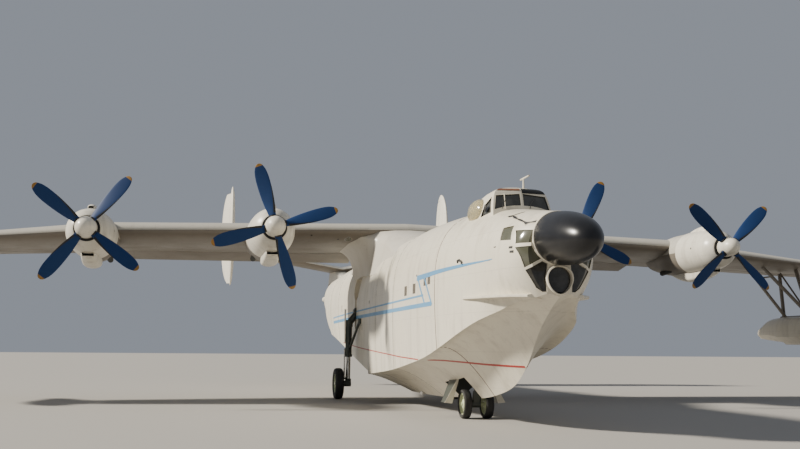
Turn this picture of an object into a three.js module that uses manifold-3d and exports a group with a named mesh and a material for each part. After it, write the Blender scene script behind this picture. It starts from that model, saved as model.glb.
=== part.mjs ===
// A four-engined turboprop flying boat that stands on its wheels.
// Millimetres. x points to port, y points aft and z points up. The ground is z = 0, and the
// origin is under the middle of the length.
import * as THREE from 'three';
import { mergeVertices } from 'three/addons/utils/BufferGeometryUtils.js';
import Module from 'manifold-3d';

const wasm = await Module();
wasm.setup();

const V = (x, y, z) => new THREE.Vector3(x, y, z);
const rad = THREE.MathUtils.degToRad;
const lerp = THREE.MathUtils.lerp;

// Driving dimensions
const LENGTH = 38900;
const NOSE_Y = -LENGTH / 2;
const TAIL_Y = LENGTH / 2;
const HALF_SPAN = 18000;
const SEAT_GAP = 0.3; // between solids that touch
const RUN_GAP = 12; // between solids that move past each other
const END_GAP = 25; // at the ends of a control surface

// Wing: constant centre section out to the outer engines, then a tapered panel
const WING_LE_Y = -3450;
const WING_LE_Z = 5830;
const WING_CHORD = 4500;
const PANEL_X = 10300;
const TIP_CHORD = 2300;
const INNER_DROP = 0.031; // fall of the leading edge for each metre outboard
const OUTER_DROP = 0.083;
const OUTER_SWEEP = 0.072;
const ROOT_INCIDENCE = rad(7.5);
const PANEL_INCIDENCE = rad(4);
const ROOT_THICKNESS = 0.16;
const TIP_THICKNESS = 0.12;
const FLAP_DROOP = rad(12);

// Engines: the propeller's plane, its centre and its rest angle for each side
const PROP_RADIUS = 1970;
const SPINNER_RADIUS = 315;
const ENGINES = [
  { name: '1', x: 10360, propY: -6400, z: 5240, phase: -0.787 },
  { name: '2', x: 4845, propY: -6780, z: 5400, phase: 0.428 },
  { name: '3', x: -4845, propY: -6780, z: 5400, phase: -0.291 },
  { name: '4', x: -10360, propY: -6400, z: 5240, phase: -0.903 },
];

// Tail: a tailplane with dihedral that carries an oval fin on each tip
const FIN_X = 5480;
const FIN_HINGE_Y = 14050;
const FIN_BOTTOM = 4900;
const FIN_TOP = 9920;
const FIN_CHORD = 2450;
const STARBOARD_RUDDER_REST = rad(25);
const TAILPLANE_Z = 5680;
const TAILPLANE_DROP = -0.165; // negative, so the tips are higher

// Hull marks that other pieces seat on
const STEP_Y = -4080;
const NOSE_FACE_Y = -17720;
const RADOME_Z = 3985;
const RADOME_RADIUS = 540;
const DECK_Z = 5200;
const TURRET_Y = 4600;
const TURRET_RADIUS = 520;

// Landing gear
const MAIN_WHEEL = { x: 2130, y: -1600, radius: 540, width: 300 };
const MAIN_LEG_X = 1780;
const MAIN_AXLE = 56;
const NOSE_AXLE = 45;
const NOSE_WHEEL = { x: 290, y: -11660, radius: 370, width: 210 };
const STEER_Y = -11760;
const WELL = { front: -12220, rear: -10300, halfWidth: 470, roof: 1750 };

// Floats
const FLOAT_X = 15400;
const FLOAT = { bow: -4500, stern: 100, top: 3100, bottom: 2040, halfWidth: 430 };

const paint = (color, roughness, metalness = 0.1) =>
  new THREE.MeshStandardMaterial({ color, roughness, metalness });
const LOOK = {
  white: () => paint(0xe9e4d4, 0.5),
  underside: () => paint(0x9b9184, 0.6),
  radome: () => paint(0x1b1c1e, 0.4, 0),
  blue: () => paint(0x1f4a7d, 0.4),
  glass: () => paint(0x4d5344, 0.1, 0),
  plexiglass: () => paint(0xb9ac82, 0.15, 0),
  gear: () => paint(0x3d443d, 0.5, 0.4),
  engine: () => paint(0x4a4b4d, 0.5, 0.8),
  tyre: () => paint(0x1c1b1a, 0.9, 0),
  cabin: () => paint(0x3a4a48, 0.7, 0),
};

// Solids from geometries, and back
function solid(geometry) {
  let bare = geometry.clone();
  for (const attribute of ['normal', 'uv']) bare.deleteAttribute(attribute);
  bare = mergeVertices(bare, 1e-3);
  const mesh = new wasm.Mesh({
    numProp: 3,
    vertProperties: new Float32Array(bare.attributes.position.array),
    triVerts: new Uint32Array(facingOut(bare)),
  });
  return new wasm.Manifold(mesh);
}

// The triangles of a closed geometry, turned round where they face inwards
function facingOut(geometry) {
  const { position } = geometry.attributes;
  const index = Array.from(geometry.index.array);
  const [a, b, c] = [V(0, 0, 0), V(0, 0, 0), V(0, 0, 0)];
  let volume = 0;
  for (let i = 0; i < index.length; i += 3) {
    a.fromBufferAttribute(position, index[i]);
    b.fromBufferAttribute(position, index[i + 1]);
    c.fromBufferAttribute(position, index[i + 2]);
    volume += a.dot(b.cross(c));
  }
  if (volume > 0) return index;
  return index.reverse();
}

function geometryOf(manifold) {
  const mesh = manifold.getMesh();
  const geometry = new THREE.BufferGeometry();
  geometry.setAttribute('position', new THREE.BufferAttribute(mesh.vertProperties, 3));
  geometry.setIndex(new THREE.BufferAttribute(mesh.triVerts, 1));
  return geometry;
}

const join = (...solids) => solids.reduce((sum, next) => sum.add(next));
const cut = (first, ...tools) => tools.reduce((rest, tool) => rest.subtract(tool), first);

// A closed solid through rings of equal length, with its two ends filled
function loft(rings) {
  const count = rings[0].length;
  const points = rings.flat();
  const index = [];
  for (let r = 0; r + 1 < rings.length; r += 1) {
    for (let i = 0; i < count; i += 1) {
      const a = r * count + i;
      const b = r * count + ((i + 1) % count);
      index.push(a, b, b + count, a, b + count, a + count);
    }
  }
  for (const [ring, first] of [[rings[0], 0], [rings.at(-1), (rings.length - 1) * count]]) {
    const middle = points.length;
    const centre = ring.reduce((sum, p) => sum.add(p), V(0, 0, 0)).divideScalar(count);
    points.push(centre);
    for (let i = 0; i < count; i += 1) {
      const a = first + i;
      const b = first + ((i + 1) % count);
      index.push(...(first === 0 ? [middle, b, a] : [middle, a, b]));
    }
  }
  const geometry = new THREE.BufferGeometry().setFromPoints(points);
  geometry.setIndex(index);
  return geometry;
}

function mirrored(manifold) {
  const geometry = geometryOf(manifold);
  const position = geometry.attributes.position;
  for (let i = 0; i < position.count; i += 1) position.setX(i, -position.getX(i));
  return solid(geometry);
}

function turned(manifold, point, axis, angle) {
  const geometry = geometryOf(manifold);
  geometry.applyMatrix4(new THREE.Matrix4().makeTranslation(-point.x, -point.y, -point.z));
  geometry.applyMatrix4(new THREE.Matrix4().makeRotationAxis(axis, angle));
  geometry.applyMatrix4(new THREE.Matrix4().makeTranslation(point.x, point.y, point.z));
  return solid(geometry);
}

// Simple solids, placed where they belong
function block(xs, ys, zs) {
  const geometry = new THREE.BoxGeometry(xs[1] - xs[0], ys[1] - ys[0], zs[1] - zs[0]);
  geometry.translate((xs[0] + xs[1]) / 2, (ys[0] + ys[1]) / 2, (zs[0] + zs[1]) / 2);
  return solid(geometry);
}

// A round bar from a to b, whose radius may change along it
function bar(a, b, radius, endRadius = radius, sides = 8) {
  const along = b.clone().sub(a);
  const geometry = new THREE.CylinderGeometry(endRadius, radius, along.length(), sides);
  const turn = new THREE.Quaternion().setFromUnitVectors(V(0, 1, 0), along.clone().normalize());
  geometry.applyQuaternion(turn);
  const middle = a.clone().add(b).divideScalar(2);
  geometry.translate(middle.x, middle.y, middle.z);
  return solid(geometry);
}

// A solid of revolution about a line along y, from rows of [y, radius]
function turnedAboutY(rows, x, z, sides = 24) {
  const profile = rows.map(([y, r]) => new THREE.Vector2(r, y));
  const geometry = new THREE.LatheGeometry(profile, sides);
  geometry.translate(x, 0, z);
  return solid(geometry);
}

// The same about a line along x, with flats that touch the round form, one of them at the bottom
function turnedAboutX(rows, y, z, sides = 20) {
  const half = Math.PI / sides;
  const profile = rows.map(([x, r]) => new THREE.Vector2(r / Math.cos(half), -x));
  const geometry = new THREE.LatheGeometry(profile, sides);
  geometry.rotateZ(Math.PI / 2);
  geometry.rotateX(half);
  geometry.translate(0, y, z);
  return solid(geometry);
}

// An outline of [a, b] pairs pushed along one axis: x takes [y, z] and y takes [x, z]
function prism(axis, outline, from, to) {
  const shape = new THREE.Shape(outline.map(([a, b]) => new THREE.Vector2(a, b)));
  const geometry = new THREE.ExtrudeGeometry(shape, { depth: to - from, bevelEnabled: false });
  if (axis === 'x') {
    geometry.applyMatrix4(new THREE.Matrix4().set(0, 0, 1, from, 1, 0, 0, 0, 0, 1, 0, 0, 0, 0, 0, 1));
  } else {
    geometry.applyMatrix4(new THREE.Matrix4().set(1, 0, 0, 0, 0, 0, -1, to, 0, 1, 0, 0, 0, 0, 0, 1));
  }
  return solid(geometry);
}

function ellipsoid(centre, radii, sides = 14) {
  const geometry = new THREE.SphereGeometry(1, sides, sides / 2);
  geometry.scale(radii.x, radii.y, radii.z);
  geometry.translate(centre.x, centre.y, centre.z);
  return solid(geometry);
}

const group = new THREE.Group();

function add(name, shape, look) {
  const mesh = new THREE.Mesh(geometryOf(shape), look());
  mesh.name = name;
  group.add(mesh);
}

// Values of a table between its rows, with a smooth change of slope
function along(rows, y) {
  let i = rows.findIndex((row) => row[0] > y);
  if (i === -1) i = rows.length - 1;
  if (i === 0) i = 1;
  const [a, b] = [rows[i - 1], rows[i]];
  const before = rows[i - 2] ?? a;
  const after = rows[i + 1] ?? b;
  const t = Math.min(Math.max((y - a[0]) / (b[0] - a[0]), 0), 1);
  const span = b[0] - a[0];
  return a.map((value, column) => {
    if (column === 0) return y;
    const slopeA = before === a ? (b[column] - value) / span
      : (b[column] - before[column]) / (b[0] - before[0]);
    const slopeB = after === b ? (b[column] - value) / span
      : (after[column] - value) / (after[0] - a[0]);
    const t2 = t * t;
    const t3 = t2 * t;
    return (2 * t3 - 3 * t2 + 1) * value + (t3 - 2 * t2 + t) * span * slopeA
      + (3 * t2 - 2 * t3) * b[column] + (t3 - t2) * span * slopeB;
  });
}

// Hull lines. Columns: y, keel z, chine x, chine z, rise of the bottom inboard of the chine,
// widest x, its z, deck z, squareness of the shoulder.
const FOREBODY = [
  [NOSE_FACE_Y, 2800, 260, 2860, 10, 600, 3700, 4525, 2.0],
  [-17560, 2730, 420, 2800, 20, 770, 3680, 4560, 2.1],
  [-17300, 2620, 560, 2760, 30, 900, 3650, 4600, 2.2],
  [-16870, 2380, 700, 2690, 70, 1010, 3620, 4665, 2.2],
  [-16370, 2020, 850, 2555, 150, 1060, 3700, 4740, 2.2],
  [-15780, 1460, 1120, 2380, 230, 1180, 3600, 4840, 2.3],
  [-14910, 970, 1300, 2140, 290, 1340, 3500, 4950, 2.3],
  [-13670, 700, 1420, 1830, 310, 1480, 3300, 5060, 2.4],
  [-12220, 540, 1460, 1570, 160, 1510, 3200, 5140, 2.5],
  [-10460, 480, 1480, 1370, 80, 1530, 3100, 5190, 2.6],
  [-7800, 390, 1490, 1140, 20, 1540, 3000, DECK_Z, 2.6],
  [STEP_Y, 370, 1500, 940, -60, 1540, 3000, DECK_Z, 2.6],
];
const AFTERBODY = [
  [STEP_Y + 5, 530, 1500, 1040, -60, 1540, 3000, DECK_Z, 2.6],
  [-1200, 820, 1480, 1440, -40, 1540, 3100, DECK_Z, 2.6],
  [2200, 1230, 1400, 1880, -30, 1500, 3300, DECK_Z, 2.5],
  [5400, 1640, 1280, 2230, -20, 1410, 3500, DECK_Z, 2.4],
  [8000, 2000, 1080, 2400, 0, 1270, 3650, DECK_Z, 2.3],
  [9500, 2260, 900, 2520, 0, 1190, 3750, DECK_Z, 2.2],
];
const TAIL_CONE = [
  [9505, 2640, 760, 2800, 0, 1189, 3750, DECK_Z, 2.2],
  [12000, 3060, 560, 3280, 0, 940, 4100, DECK_Z, 2.1],
  [14000, 3400, 380, 3600, 0, 660, 4300, 5160, 2.0],
  [16000, 3860, 200, 4000, 0, 370, 4450, 5020, 2.0],
  [17200, 4200, 110, 4280, 0, 210, 4500, 4820, 2.0],
];

const BOTTOM_STEPS = 5;
const SIDE_STEPS = 3;
const SHOULDER_STEPS = 5;

// Half a hull section from the keel up to the deck, moved out by grow
function halfSection(row, grow) {
  const [, keelZ, chineX, chineZ, rise, sideX, sideZ, deckZ, square] = row;
  const points = [];
  for (let i = 0; i <= BOTTOM_STEPS; i += 1) {
    const t = i / BOTTOM_STEPS;
    const blend = (a, b, c) => (1 - t) * (1 - t) * a + 2 * t * (1 - t) * b + t * t * c;
    points.push([blend(0, 0.68 * chineX, chineX), blend(keelZ, chineZ + rise, chineZ)]);
  }
  for (let i = 1; i <= SIDE_STEPS; i += 1) {
    const t = i / SIDE_STEPS;
    points.push([lerp(chineX, sideX, 1 - (1 - t) * (1 - t)), lerp(chineZ, sideZ, t)]);
  }
  for (let i = 1; i <= SHOULDER_STEPS; i += 1) {
    const angle = (i / SHOULDER_STEPS) * (Math.PI / 2);
    const x = i === SHOULDER_STEPS ? 0 : sideX * Math.cos(angle) ** (2 / square);
    points.push([x, sideZ + (deckZ - sideZ) * Math.sin(angle) ** (2 / square)]);
  }
  const middleZ = (keelZ + deckZ) / 2;
  return points.map(([x, z]) => {
    const reach = Math.hypot(x, z - middleZ);
    return [x + (x / reach) * grow, z + ((z - middleZ) / reach) * grow];
  });
}

function hullRing(row, grow = 0) {
  const half = halfSection(row, grow);
  const other = half.slice(1, -1).reverse().map(([x, z]) => [-x, z]);
  return [...half, ...other].map(([x, z]) => V(x, row[0], z));
}

// y values every step along a table, with its own rows kept
function stations(rows, step) {
  const ys = [];
  for (let i = 0; i + 1 < rows.length; i += 1) {
    const pieces = Math.max(1, Math.round((rows[i + 1][0] - rows[i][0]) / step));
    for (let k = 0; k < pieces; k += 1) ys.push(lerp(rows[i][0], rows[i + 1][0], k / pieces));
  }
  ys.push(rows.at(-1)[0]);
  return ys;
}

const RING_STEP = 1400;
function hullBody(grow = 0) {
  const rings = [FOREBODY, AFTERBODY, TAIL_CONE].flatMap((rows) =>
    stations(rows, RING_STEP).map((y) => hullRing(along(rows, y), grow)));
  return solid(loft(rings));
}

// The inside of a hollow stretch of the forebody, through rings at the given y values
function hullHollow(ys, wall, floorZ) {
  const rings = ys.map((y) => hullRing(along(FOREBODY, y), -wall));
  const below = block([-2000, 2000], [ys[0] - 50, ys.at(-1) + 50], [0, floorZ]);
  return solid(loft(rings)).subtract(below);
}

// Nose compartment: its walls, its windows and the glass behind them
const NOSE_ROOM = { ys: [NOSE_FACE_Y + 50, -17450, -17200, -16870, -16480], wall: 60, floor: 2900 };
const NOSE_REAR = -16350;
const GLASS = 12;
const BOW_WINDOW = { z: 3120, radius: 250 };

// The rear windows are a [y, z] outline cut through the side, and the others [x, z] outlines cut
// through the face, from the radome down to the cheeks.
const REAR_PANE = [[-17275, 3970], [-16850, 4000], [-16740, 4280], [-17150, 4285]];
const FACE_PANES = [
  [[820, 3880], [605, 3880], [575, 4140], [775, 4160]],
  [[825, 3800], [580, 3800], [530, 3700], [470, 3620], [390, 3545], [700, 3410]],
  [[670, 3330], [372, 3494], [285, 3450], [315, 3120], [300, 2920], [345, 2910], [453, 2990]],
];
const FACE_PANES_END = -17300;

function noseWindows() {
  const cuts = [];
  for (const side of [1, -1]) {
    cuts.push(prism('x', REAR_PANE, ...(side > 0 ? [300, 1400] : [-1400, -300])));
    for (const pane of FACE_PANES) {
      const outline = pane.map(([x, z]) => [side * x, z]);
      cuts.push(prism('y', outline, NOSE_FACE_Y - 50, FACE_PANES_END));
    }
  }
  cuts.push(turnedAboutY([
    [NOSE_FACE_Y - 100, 0],
    [NOSE_FACE_Y - 100, BOW_WINDOW.radius],
    [NOSE_FACE_Y + 200, BOW_WINDOW.radius],
    [NOSE_FACE_Y + 200, 0],
  ], 0, BOW_WINDOW.z));
  return cuts;
}

function noseGlass() {
  const { ys, wall, floor } = NOSE_ROOM;
  const [front, ...rest] = ys;
  const outer = hullHollow([front + SEAT_GAP, ...rest], wall + SEAT_GAP, floor + SEAT_GAP);
  const inner = hullHollow([front + GLASS, ...rest.slice(0, -1), rest.at(-1) + 50],
    wall + GLASS, floor - 50);
  return cut(outer, inner);
}

// Cockpit: the canopy rises out of the deck. Columns: z, front y, corner x, corner y, side x,
// side y, rear x, rear y, rear end y.
const CANOPY = [
  [4300, -15680, 720, -15610, 900, -14650, 900, -13500, -12900],
  [4870, -15510, 680, -15460, 830, -14600, 800, -13700, -13150],
  [5230, -15390, 610, -15320, 650, -14600, 560, -13950, -13700],
  [5360, -15320, 500, -15240, 500, -14600, 400, -14050, -13900],
  [5430, -15100, 200, -15050, 220, -14600, 200, -14250, -14150],
];
const COCKPIT = { ys: [-15480, -15000, -14500, -14000, -13650], wall: 60, floor: 3750 };

function canopyBody(inset) {
  const rings = CANOPY.map(([z, frontY, cornerX, cornerY, sideX, sideY, rearX, rearY, endY]) => {
    const half = [
      [0, frontY + inset],
      [cornerX - inset, cornerY + inset],
      [sideX - inset, sideY],
      [rearX - inset, rearY - inset],
      [0, endY - inset],
    ];
    const other = half.slice(1, -1).reverse().map(([x, y]) => [-x, y]);
    return [...half, ...other].map(([x, y]) => V(x, y, z === CANOPY.at(-1)[0] ? z - inset : z));
  });
  return solid(loft(rings));
}

function canopyWindows() {
  const cuts = [];
  for (const side of [1, -1]) {
    const front = [[45, 4905], [620, 4885], [560, 5210], [45, 5240]];
    cuts.push(prism('y', front.map(([x, z]) => [side * x, z]), -16000, -15150));
    const sideXs = side > 0 ? [350, 1200] : [-1200, -350];
    const quarter = [[-15380, 5190], [-15390, 4850], [-14980, 4780], [-15180, 5190]];
    cuts.push(prism('x', quarter, sideXs[0], sideXs[1]));
    const bubble = [[-15090, 5170], [-14880, 4770], [-14050, 4800], [-14200, 5100], [-14600, 5210]];
    cuts.push(prism('x', bubble, sideXs[0], sideXs[1]));
  }
  return cuts;
}

const BLISTER = V(250, 600, 285);
function blister(side, outer) {
  const centre = V(side * 690, -14500, 4940);
  const shell = ellipsoid(centre, BLISTER).subtract(ellipsoid(centre,
    BLISTER.clone().subScalar(GLASS)));
  return cut(shell, outer);
}

// Builds the hull and everything that closes its front end
const hullSolid = hullBody();
const hullSeat = hullBody(SEAT_GAP);

function strake(side) {
  // a spray lip, as [y, inner x, outer x, z]
  const rows = [
    [-17500, 300, 600, 2850],
    [-17100, 500, 880, 2865],
    [-16500, 700, 1100, 2875],
    [-15900, 900, 1230, 2885],
    [-15200, 1100, 1320, 2900],
    [-15050, 1150, 1290, 2905],
  ];
  const rings = rows.map(([y, inner, outer, z], i) => {
    const thick = i === rows.length - 1 ? 10 : 28;
    return [V(side * inner, y, z - 80), V(side * outer, y, z - thick), V(side * outer, y, z),
      V(side * inner, y, z + 60)];
  });
  return solid(loft(rings));
}

// a flat pad under the keel, for a jack
const KEEL_PAD = [[-150, 150], [-6200, -5900], [340, 700]];

// The hull's sections, as [name, where it starts]
const HULL_BREAKS = [
  ['hull_nose', NOSE_Y],
  ['hull_forebody', -13310],
  ['hull', -8000],
  ['hull_tail', 3200],
];

function buildHull() {
  let hull = join(hullSolid, strake(1), strake(-1), block(...KEEL_PAD));
  const nose = hullHollow([...NOSE_ROOM.ys, NOSE_REAR], NOSE_ROOM.wall, NOSE_ROOM.floor);
  const cockpit = hullHollow(COCKPIT.ys, COCKPIT.wall, COCKPIT.floor);
  const hatchRing = canopyBody(COCKPIT.wall + SEAT_GAP)
    .subtract(block([-2000, 2000], [-17000, -12000], [3000, COCKPIT.floor + 600]));
  const turretWell = turretPost(TURRET_RADIUS + 60, DECK_Z - 260, DECK_Z + 400);
  hull = cut(hull, nose, ...noseWindows(), cockpit, hatchRing, noseWell(0), turretWell);
  for (const side of [1, -1]) hull = cut(hull, mainBay(side));
  const breaks = HULL_BREAKS.map(([, y]) => y);
  HULL_BREAKS.forEach(([name, start], i) => {
    const end = i + 1 < breaks.length ? breaks[i + 1] - SEAT_GAP : TAIL_Y;
    add(name, hull.intersect(block([-3000, 3000], [start, end], [-100, 7000])), LOOK.white);
  });
}

// The bay in the keel that the nose gear folds into
function noseWell(inset) {
  const half = WELL.halfWidth - inset;
  return block([-half, half], [WELL.front + inset, WELL.rear - inset], [0, WELL.roof - inset]);
}

// A round post about a line along z at the turret
function turretPost(radius, bottom, top) {
  return bar(V(0, TURRET_Y, bottom), V(0, TURRET_Y, top), radius, radius, 24);
}

// The bay in the hull's side that holds the upper leg and, when raised, the wheel
const MAIN_BAY = { legHalf: 170, bottom: 2450, wheelZ: 4050, wheelRadius: 600, depth: 330 };
function mainBay(side) {
  const y = MAIN_WHEEL.y;
  const inner = 1540 - MAIN_BAY.depth;
  const xs = side > 0 ? [inner, 2000] : [-2000, -inner];
  const slot = block(xs, [y - MAIN_BAY.legHalf, y + MAIN_BAY.legHalf],
    [MAIN_BAY.bottom, MAIN_BAY.wheelZ]);
  const round = bar(V(xs[0], y, MAIN_BAY.wheelZ), V(xs[1], y, MAIN_BAY.wheelZ),
    MAIN_BAY.wheelRadius, MAIN_BAY.wheelRadius, 28);
  return slot.add(round);
}

function buildRadome() {
  const tilt = rad(-6);
  const length = NOSE_FACE_Y - NOSE_Y;
  const rows = [[0, 0]];
  const steps = 9;
  for (let i = 0; i < steps; i += 1) {
    const angle = (i / steps) * (Math.PI / 2);
    const bulge = 1 + 0.05 * Math.sin(2 * angle);
    rows.push([-length * Math.sin(angle), RADOME_RADIUS * Math.cos(angle) ** 0.8 * bulge]);
  }
  rows.push([-length, 0]);
  const dome = turnedAboutY(rows.reverse(), 0, 0, 24);
  const geometry = geometryOf(dome);
  geometry.applyMatrix4(new THREE.Matrix4().makeShear(0, 0, 0, Math.tan(-tilt), 0, 0));
  geometry.translate(0, NOSE_FACE_Y - SEAT_GAP, RADOME_Z);
  add('radome', solid(geometry), LOOK.radome);
}

function buildNose() {
  add('nose_glass', noseGlass(), LOOK.glass);
  const outer = canopyBody(0);
  const inner = canopyBody(COCKPIT.wall);
  const frame = cut(outer, inner, ...canopyWindows(), hullSeat);
  add('canopy_frame', frame, LOOK.white);
  const linerOuter = canopyBody(COCKPIT.wall + SEAT_GAP);
  const linerInner = canopyBody(COCKPIT.wall + SEAT_GAP + 12);
  const low = block([-2000, 2000], [-17000, -12000], [3000, 4840]);
  add('canopy_glass', cut(linerOuter, linerInner, low, hullSeat), LOOK.glass);
  const clear = canopyBody(-SEAT_GAP);
  add('blister_left', blister(1, join(clear, hullSeat)), LOOK.plexiglass);
  add('blister_right', blister(-1, join(clear, hullSeat)), LOOK.plexiglass);
}

// Two seats on one pan, and the instrument panel ahead of them
function buildCockpit() {
  const floor = COCKPIT.floor + SEAT_GAP;
  const parts = [block([-780, 780], [-14950, -13950], [floor, floor + 40])];
  for (const side of [1, -1]) {
    const xs = [side * 400 - 230, side * 400 + 230];
    parts.push(block(xs, [-14800, -14300], [floor + 30, floor + 420]));
    parts.push(block(xs, [-14330, -14220], [floor + 380, floor + 1050]));
  }
  add('pilot_seats', join(...parts), LOOK.cabin);
  const panel = block([-620, 620], [-15330, -15230], [floor, floor + 950]);
  const columns = [1, -1].map((side) => join(
    bar(V(side * 400, -15050, floor + 20), V(side * 400, -15050, floor + 720), 25),
    bar(V(side * 400 - 160, -15050, floor + 720), V(side * 400 + 160, -15050, floor + 720), 22),
  ));
  const foot = block([-620, 620], [-15330, -15000], [floor, floor + 30]);
  add('instrument_panel', join(panel, foot, ...columns), LOOK.cabin);
}

// Wing sections
const SECTION_STEPS = 8;
const CAMBER = 0.025;
const TRAILING_HALF = 3; // half the thickness of a trailing edge

function thicknessAt(t, thick) {
  return 5 * thick * (0.2969 * Math.sqrt(t) - 0.126 * t - 0.3516 * t ** 2
    + 0.2843 * t ** 3 - 0.1036 * t ** 4);
}

const camberAt = (t, camber) => 4 * camber * t * (1 - t);

// A section in its own plane: [distance aft of the leading edge, height]
function sectionPoint(t, side, wing, grow) {
  const half = t === 0 ? 0 : thicknessAt(t, wing.thick) * wing.chord + TRAILING_HALF + grow;
  const up = camberAt(t, wing.camber) * wing.chord + side * half;
  const aft = t * (wing.chord + 2 * grow) - grow;
  const { sin, cos } = Math;
  return [aft * cos(wing.twist) + up * sin(wing.twist), up * cos(wing.twist) - aft * sin(wing.twist)];
}

function sectionOutline(wing, grow = 0) {
  const outline = [];
  for (let i = 0; i <= SECTION_STEPS; i += 1) {
    const t = (1 + Math.cos((i / SECTION_STEPS) * Math.PI)) / 2;
    outline.push(sectionPoint(t, 1, wing, grow));
  }
  for (let i = 1; i <= SECTION_STEPS; i += 1) {
    const t = (1 - Math.cos((i / SECTION_STEPS) * Math.PI)) / 2;
    outline.push(sectionPoint(t, -1, wing, grow));
  }
  return outline;
}

// The wing's section at a distance out from the middle
function wingAt(x) {
  const inner = Math.min(x, PANEL_X);
  const outer = Math.max(x - PANEL_X, 0);
  const share = outer / (HALF_SPAN - PANEL_X);
  return {
    x,
    y: WING_LE_Y + outer * OUTER_SWEEP,
    z: WING_LE_Z - inner * INNER_DROP - outer * OUTER_DROP,
    chord: lerp(WING_CHORD, TIP_CHORD, share),
    thick: lerp(ROOT_THICKNESS, TIP_THICKNESS, share),
    camber: CAMBER,
    twist: lerp(ROOT_INCIDENCE, PANEL_INCIDENCE, inner / PANEL_X),
  };
}

const wingRing = (wing, grow = 0) =>
  sectionOutline(wing, grow).map(([aft, up]) => V(wing.x, wing.y + aft, wing.z + up));

// Where a hinge sits in a section, and the half thickness there
function hingeAt(wing, share) {
  const upper = sectionPoint(share, 1, wing, 0);
  const lower = sectionPoint(share, -1, wing, 0);
  const aft = (upper[0] + lower[0]) / 2;
  const up = (upper[1] + lower[1]) / 2;
  return { point: V(wing.x, wing.y + aft, wing.z + up), half: Math.hypot(upper[0] - lower[0],
    upper[1] - lower[1]) / 2 };
}

// Divides a panel into its fixed part and the surface that swings by up to travel either way.
// The hinges are points on one straight line, each with the panel's half thickness there.
const NOSE_SHARE = 0.94; // of the half thickness, for the round nose of a surface
const SKIN_START = 0.25; // of the half thickness, from the hinge to the surface's skins
const PIN_RADIUS = 30;

function divide(panel, hinges, travel) {
  const [from, to] = [hinges[0], hinges.at(-1)];
  const axis = to.point.clone().sub(from.point).normalize();
  const aftward = V(0, 1, 0);
  const aft = aftward.addScaledVector(axis, -aftward.dot(axis)).normalize();
  const up = axis.clone().cross(aft);
  const length = to.point.distanceTo(from.point);
  const middle = from.point.clone().add(to.point).divideScalar(2);
  const deepest = Math.max(...hinges.map(({ half }) => half));
  const swept = deepest * Math.max(0, Math.sin(travel) - SKIN_START * Math.cos(travel));
  const region = (extra, start) => {
    const geometry = new THREE.BoxGeometry(length + 2 * extra, 3000, 2600);
    geometry.translate(0, 1500 + start, 0);
    geometry.applyMatrix4(new THREE.Matrix4().makeBasis(axis, aft, up));
    geometry.translate(middle.x, middle.y, middle.z);
    return solid(geometry);
  };
  const nose = (extra, more) => {
    const spots = hinges.map(({ point, half }) => ({ at: point.clone(), r: half * NOSE_SHARE + more }));
    spots[0].at.addScaledVector(axis, -extra);
    spots.at(-1).at.addScaledVector(axis, extra);
    return join(...spots.slice(1).map((end, i) => bar(spots[i].at, end.at, spots[i].r, end.r, 16)));
  };
  const reach = END_GAP - SEAT_GAP;
  const pins = [[from, -reach], [to, reach]].map(([{ point }, out]) =>
    bar(point, point.clone().addScaledVector(axis, out), PIN_RADIUS));
  const surface = join(panel.intersect(region(0, SKIN_START * deepest)), nose(0, 0), ...pins);
  const fixed = cut(panel, region(END_GAP, -swept - RUN_GAP), nose(END_GAP, RUN_GAP));
  return { fixed, surface, axis };
}

const HINGE_SHARE = 0.75;
const PANEL_RINGS = [PANEL_X + SEAT_GAP, 12500, 15000, 17100];
const FLAP_X = [1450, 9650];
const FLAP_TRAVEL = rad(35);
const CONTROL_TRAVEL = rad(25);
const AILERON_X = [11000, 17200];

function wingCentre(grow = 0) {
  const half = solid(loft([0, PANEL_X].map((x) => wingRing(wingAt(x), grow))));
  return join(half, mirrored(half));
}

// The saddle that carries the wing on the deck: a ramp ahead of the wing, with a crease along
// each side, and a hollow curve from below the wing down to the hull's side.
// Columns: y, top z, crease x, z, outer x, z, bend x, z, foot x, z
const SADDLE = [
  [-8300, 5150, 1000, 4700, 1100, 4600, 1200, 4400, 1350, 4150],
  [-7100, 5235, 1190, 4670, 1220, 4600, 1300, 4400, 1400, 4150],
  [-5300, 5520, 1050, 5210, 1130, 5080, 1180, 4700, 1420, 4150],
  [-3600, 5790, 910, 5720, 1150, 5450, 1300, 4850, 1440, 4200],
  [-3200, 5840, 1400, 5700, 1700, 5570, 1480, 5150, 1450, 4220],
  [-2500, 5850, 1700, 5600, 2100, 5410, 1560, 5300, 1450, 4250],
  [-600, 5740, 1700, 5480, 2100, 5300, 1540, 5200, 1450, 4250],
  [-450, 5730, 1200, 5450, 1350, 5200, 1400, 5000, 1420, 4400],
  [1300, 5430, 1150, 5320, 1300, 5000, 1330, 4900, 1380, 4600],
  [2400, 5320, 1050, 5180, 1150, 4900, 1200, 4850, 1300, 4700],
  [3800, 5180, 900, 5000, 1000, 4850, 1050, 4800, 1150, 4750],
];
const SADDLE_STEPS = 5;
// a flat pad on top of the wing, for a crane's beam
const CRANE_PAD = [[-250, 250], [-2550, -2150], [5900, 6180]];

function saddle() {
  const rings = SADDLE.map((row) => {
    const [y, topZ, creaseX, creaseZ, outerX, outerZ, bendX, bendZ, footX, footZ] = row;
    const half = [[0, topZ], [creaseX, creaseZ], [outerX, outerZ]];
    for (let i = 1; i <= SADDLE_STEPS; i += 1) {
      const t = i / SADDLE_STEPS;
      const curve = (a, b, c) => (1 - t) ** 2 * a + 2 * t * (1 - t) * b + t * t * c;
      half.push([curve(outerX, bendX, footX), curve(outerZ, bendZ, footZ)]);
    }
    half.push([0, footZ]);
    const other = half.slice(1, -1).reverse().map(([x, z]) => [-x, z]);
    return [...half, ...other].map(([x, z]) => V(x, y, z));
  });
  return solid(loft(rings));
}

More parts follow.
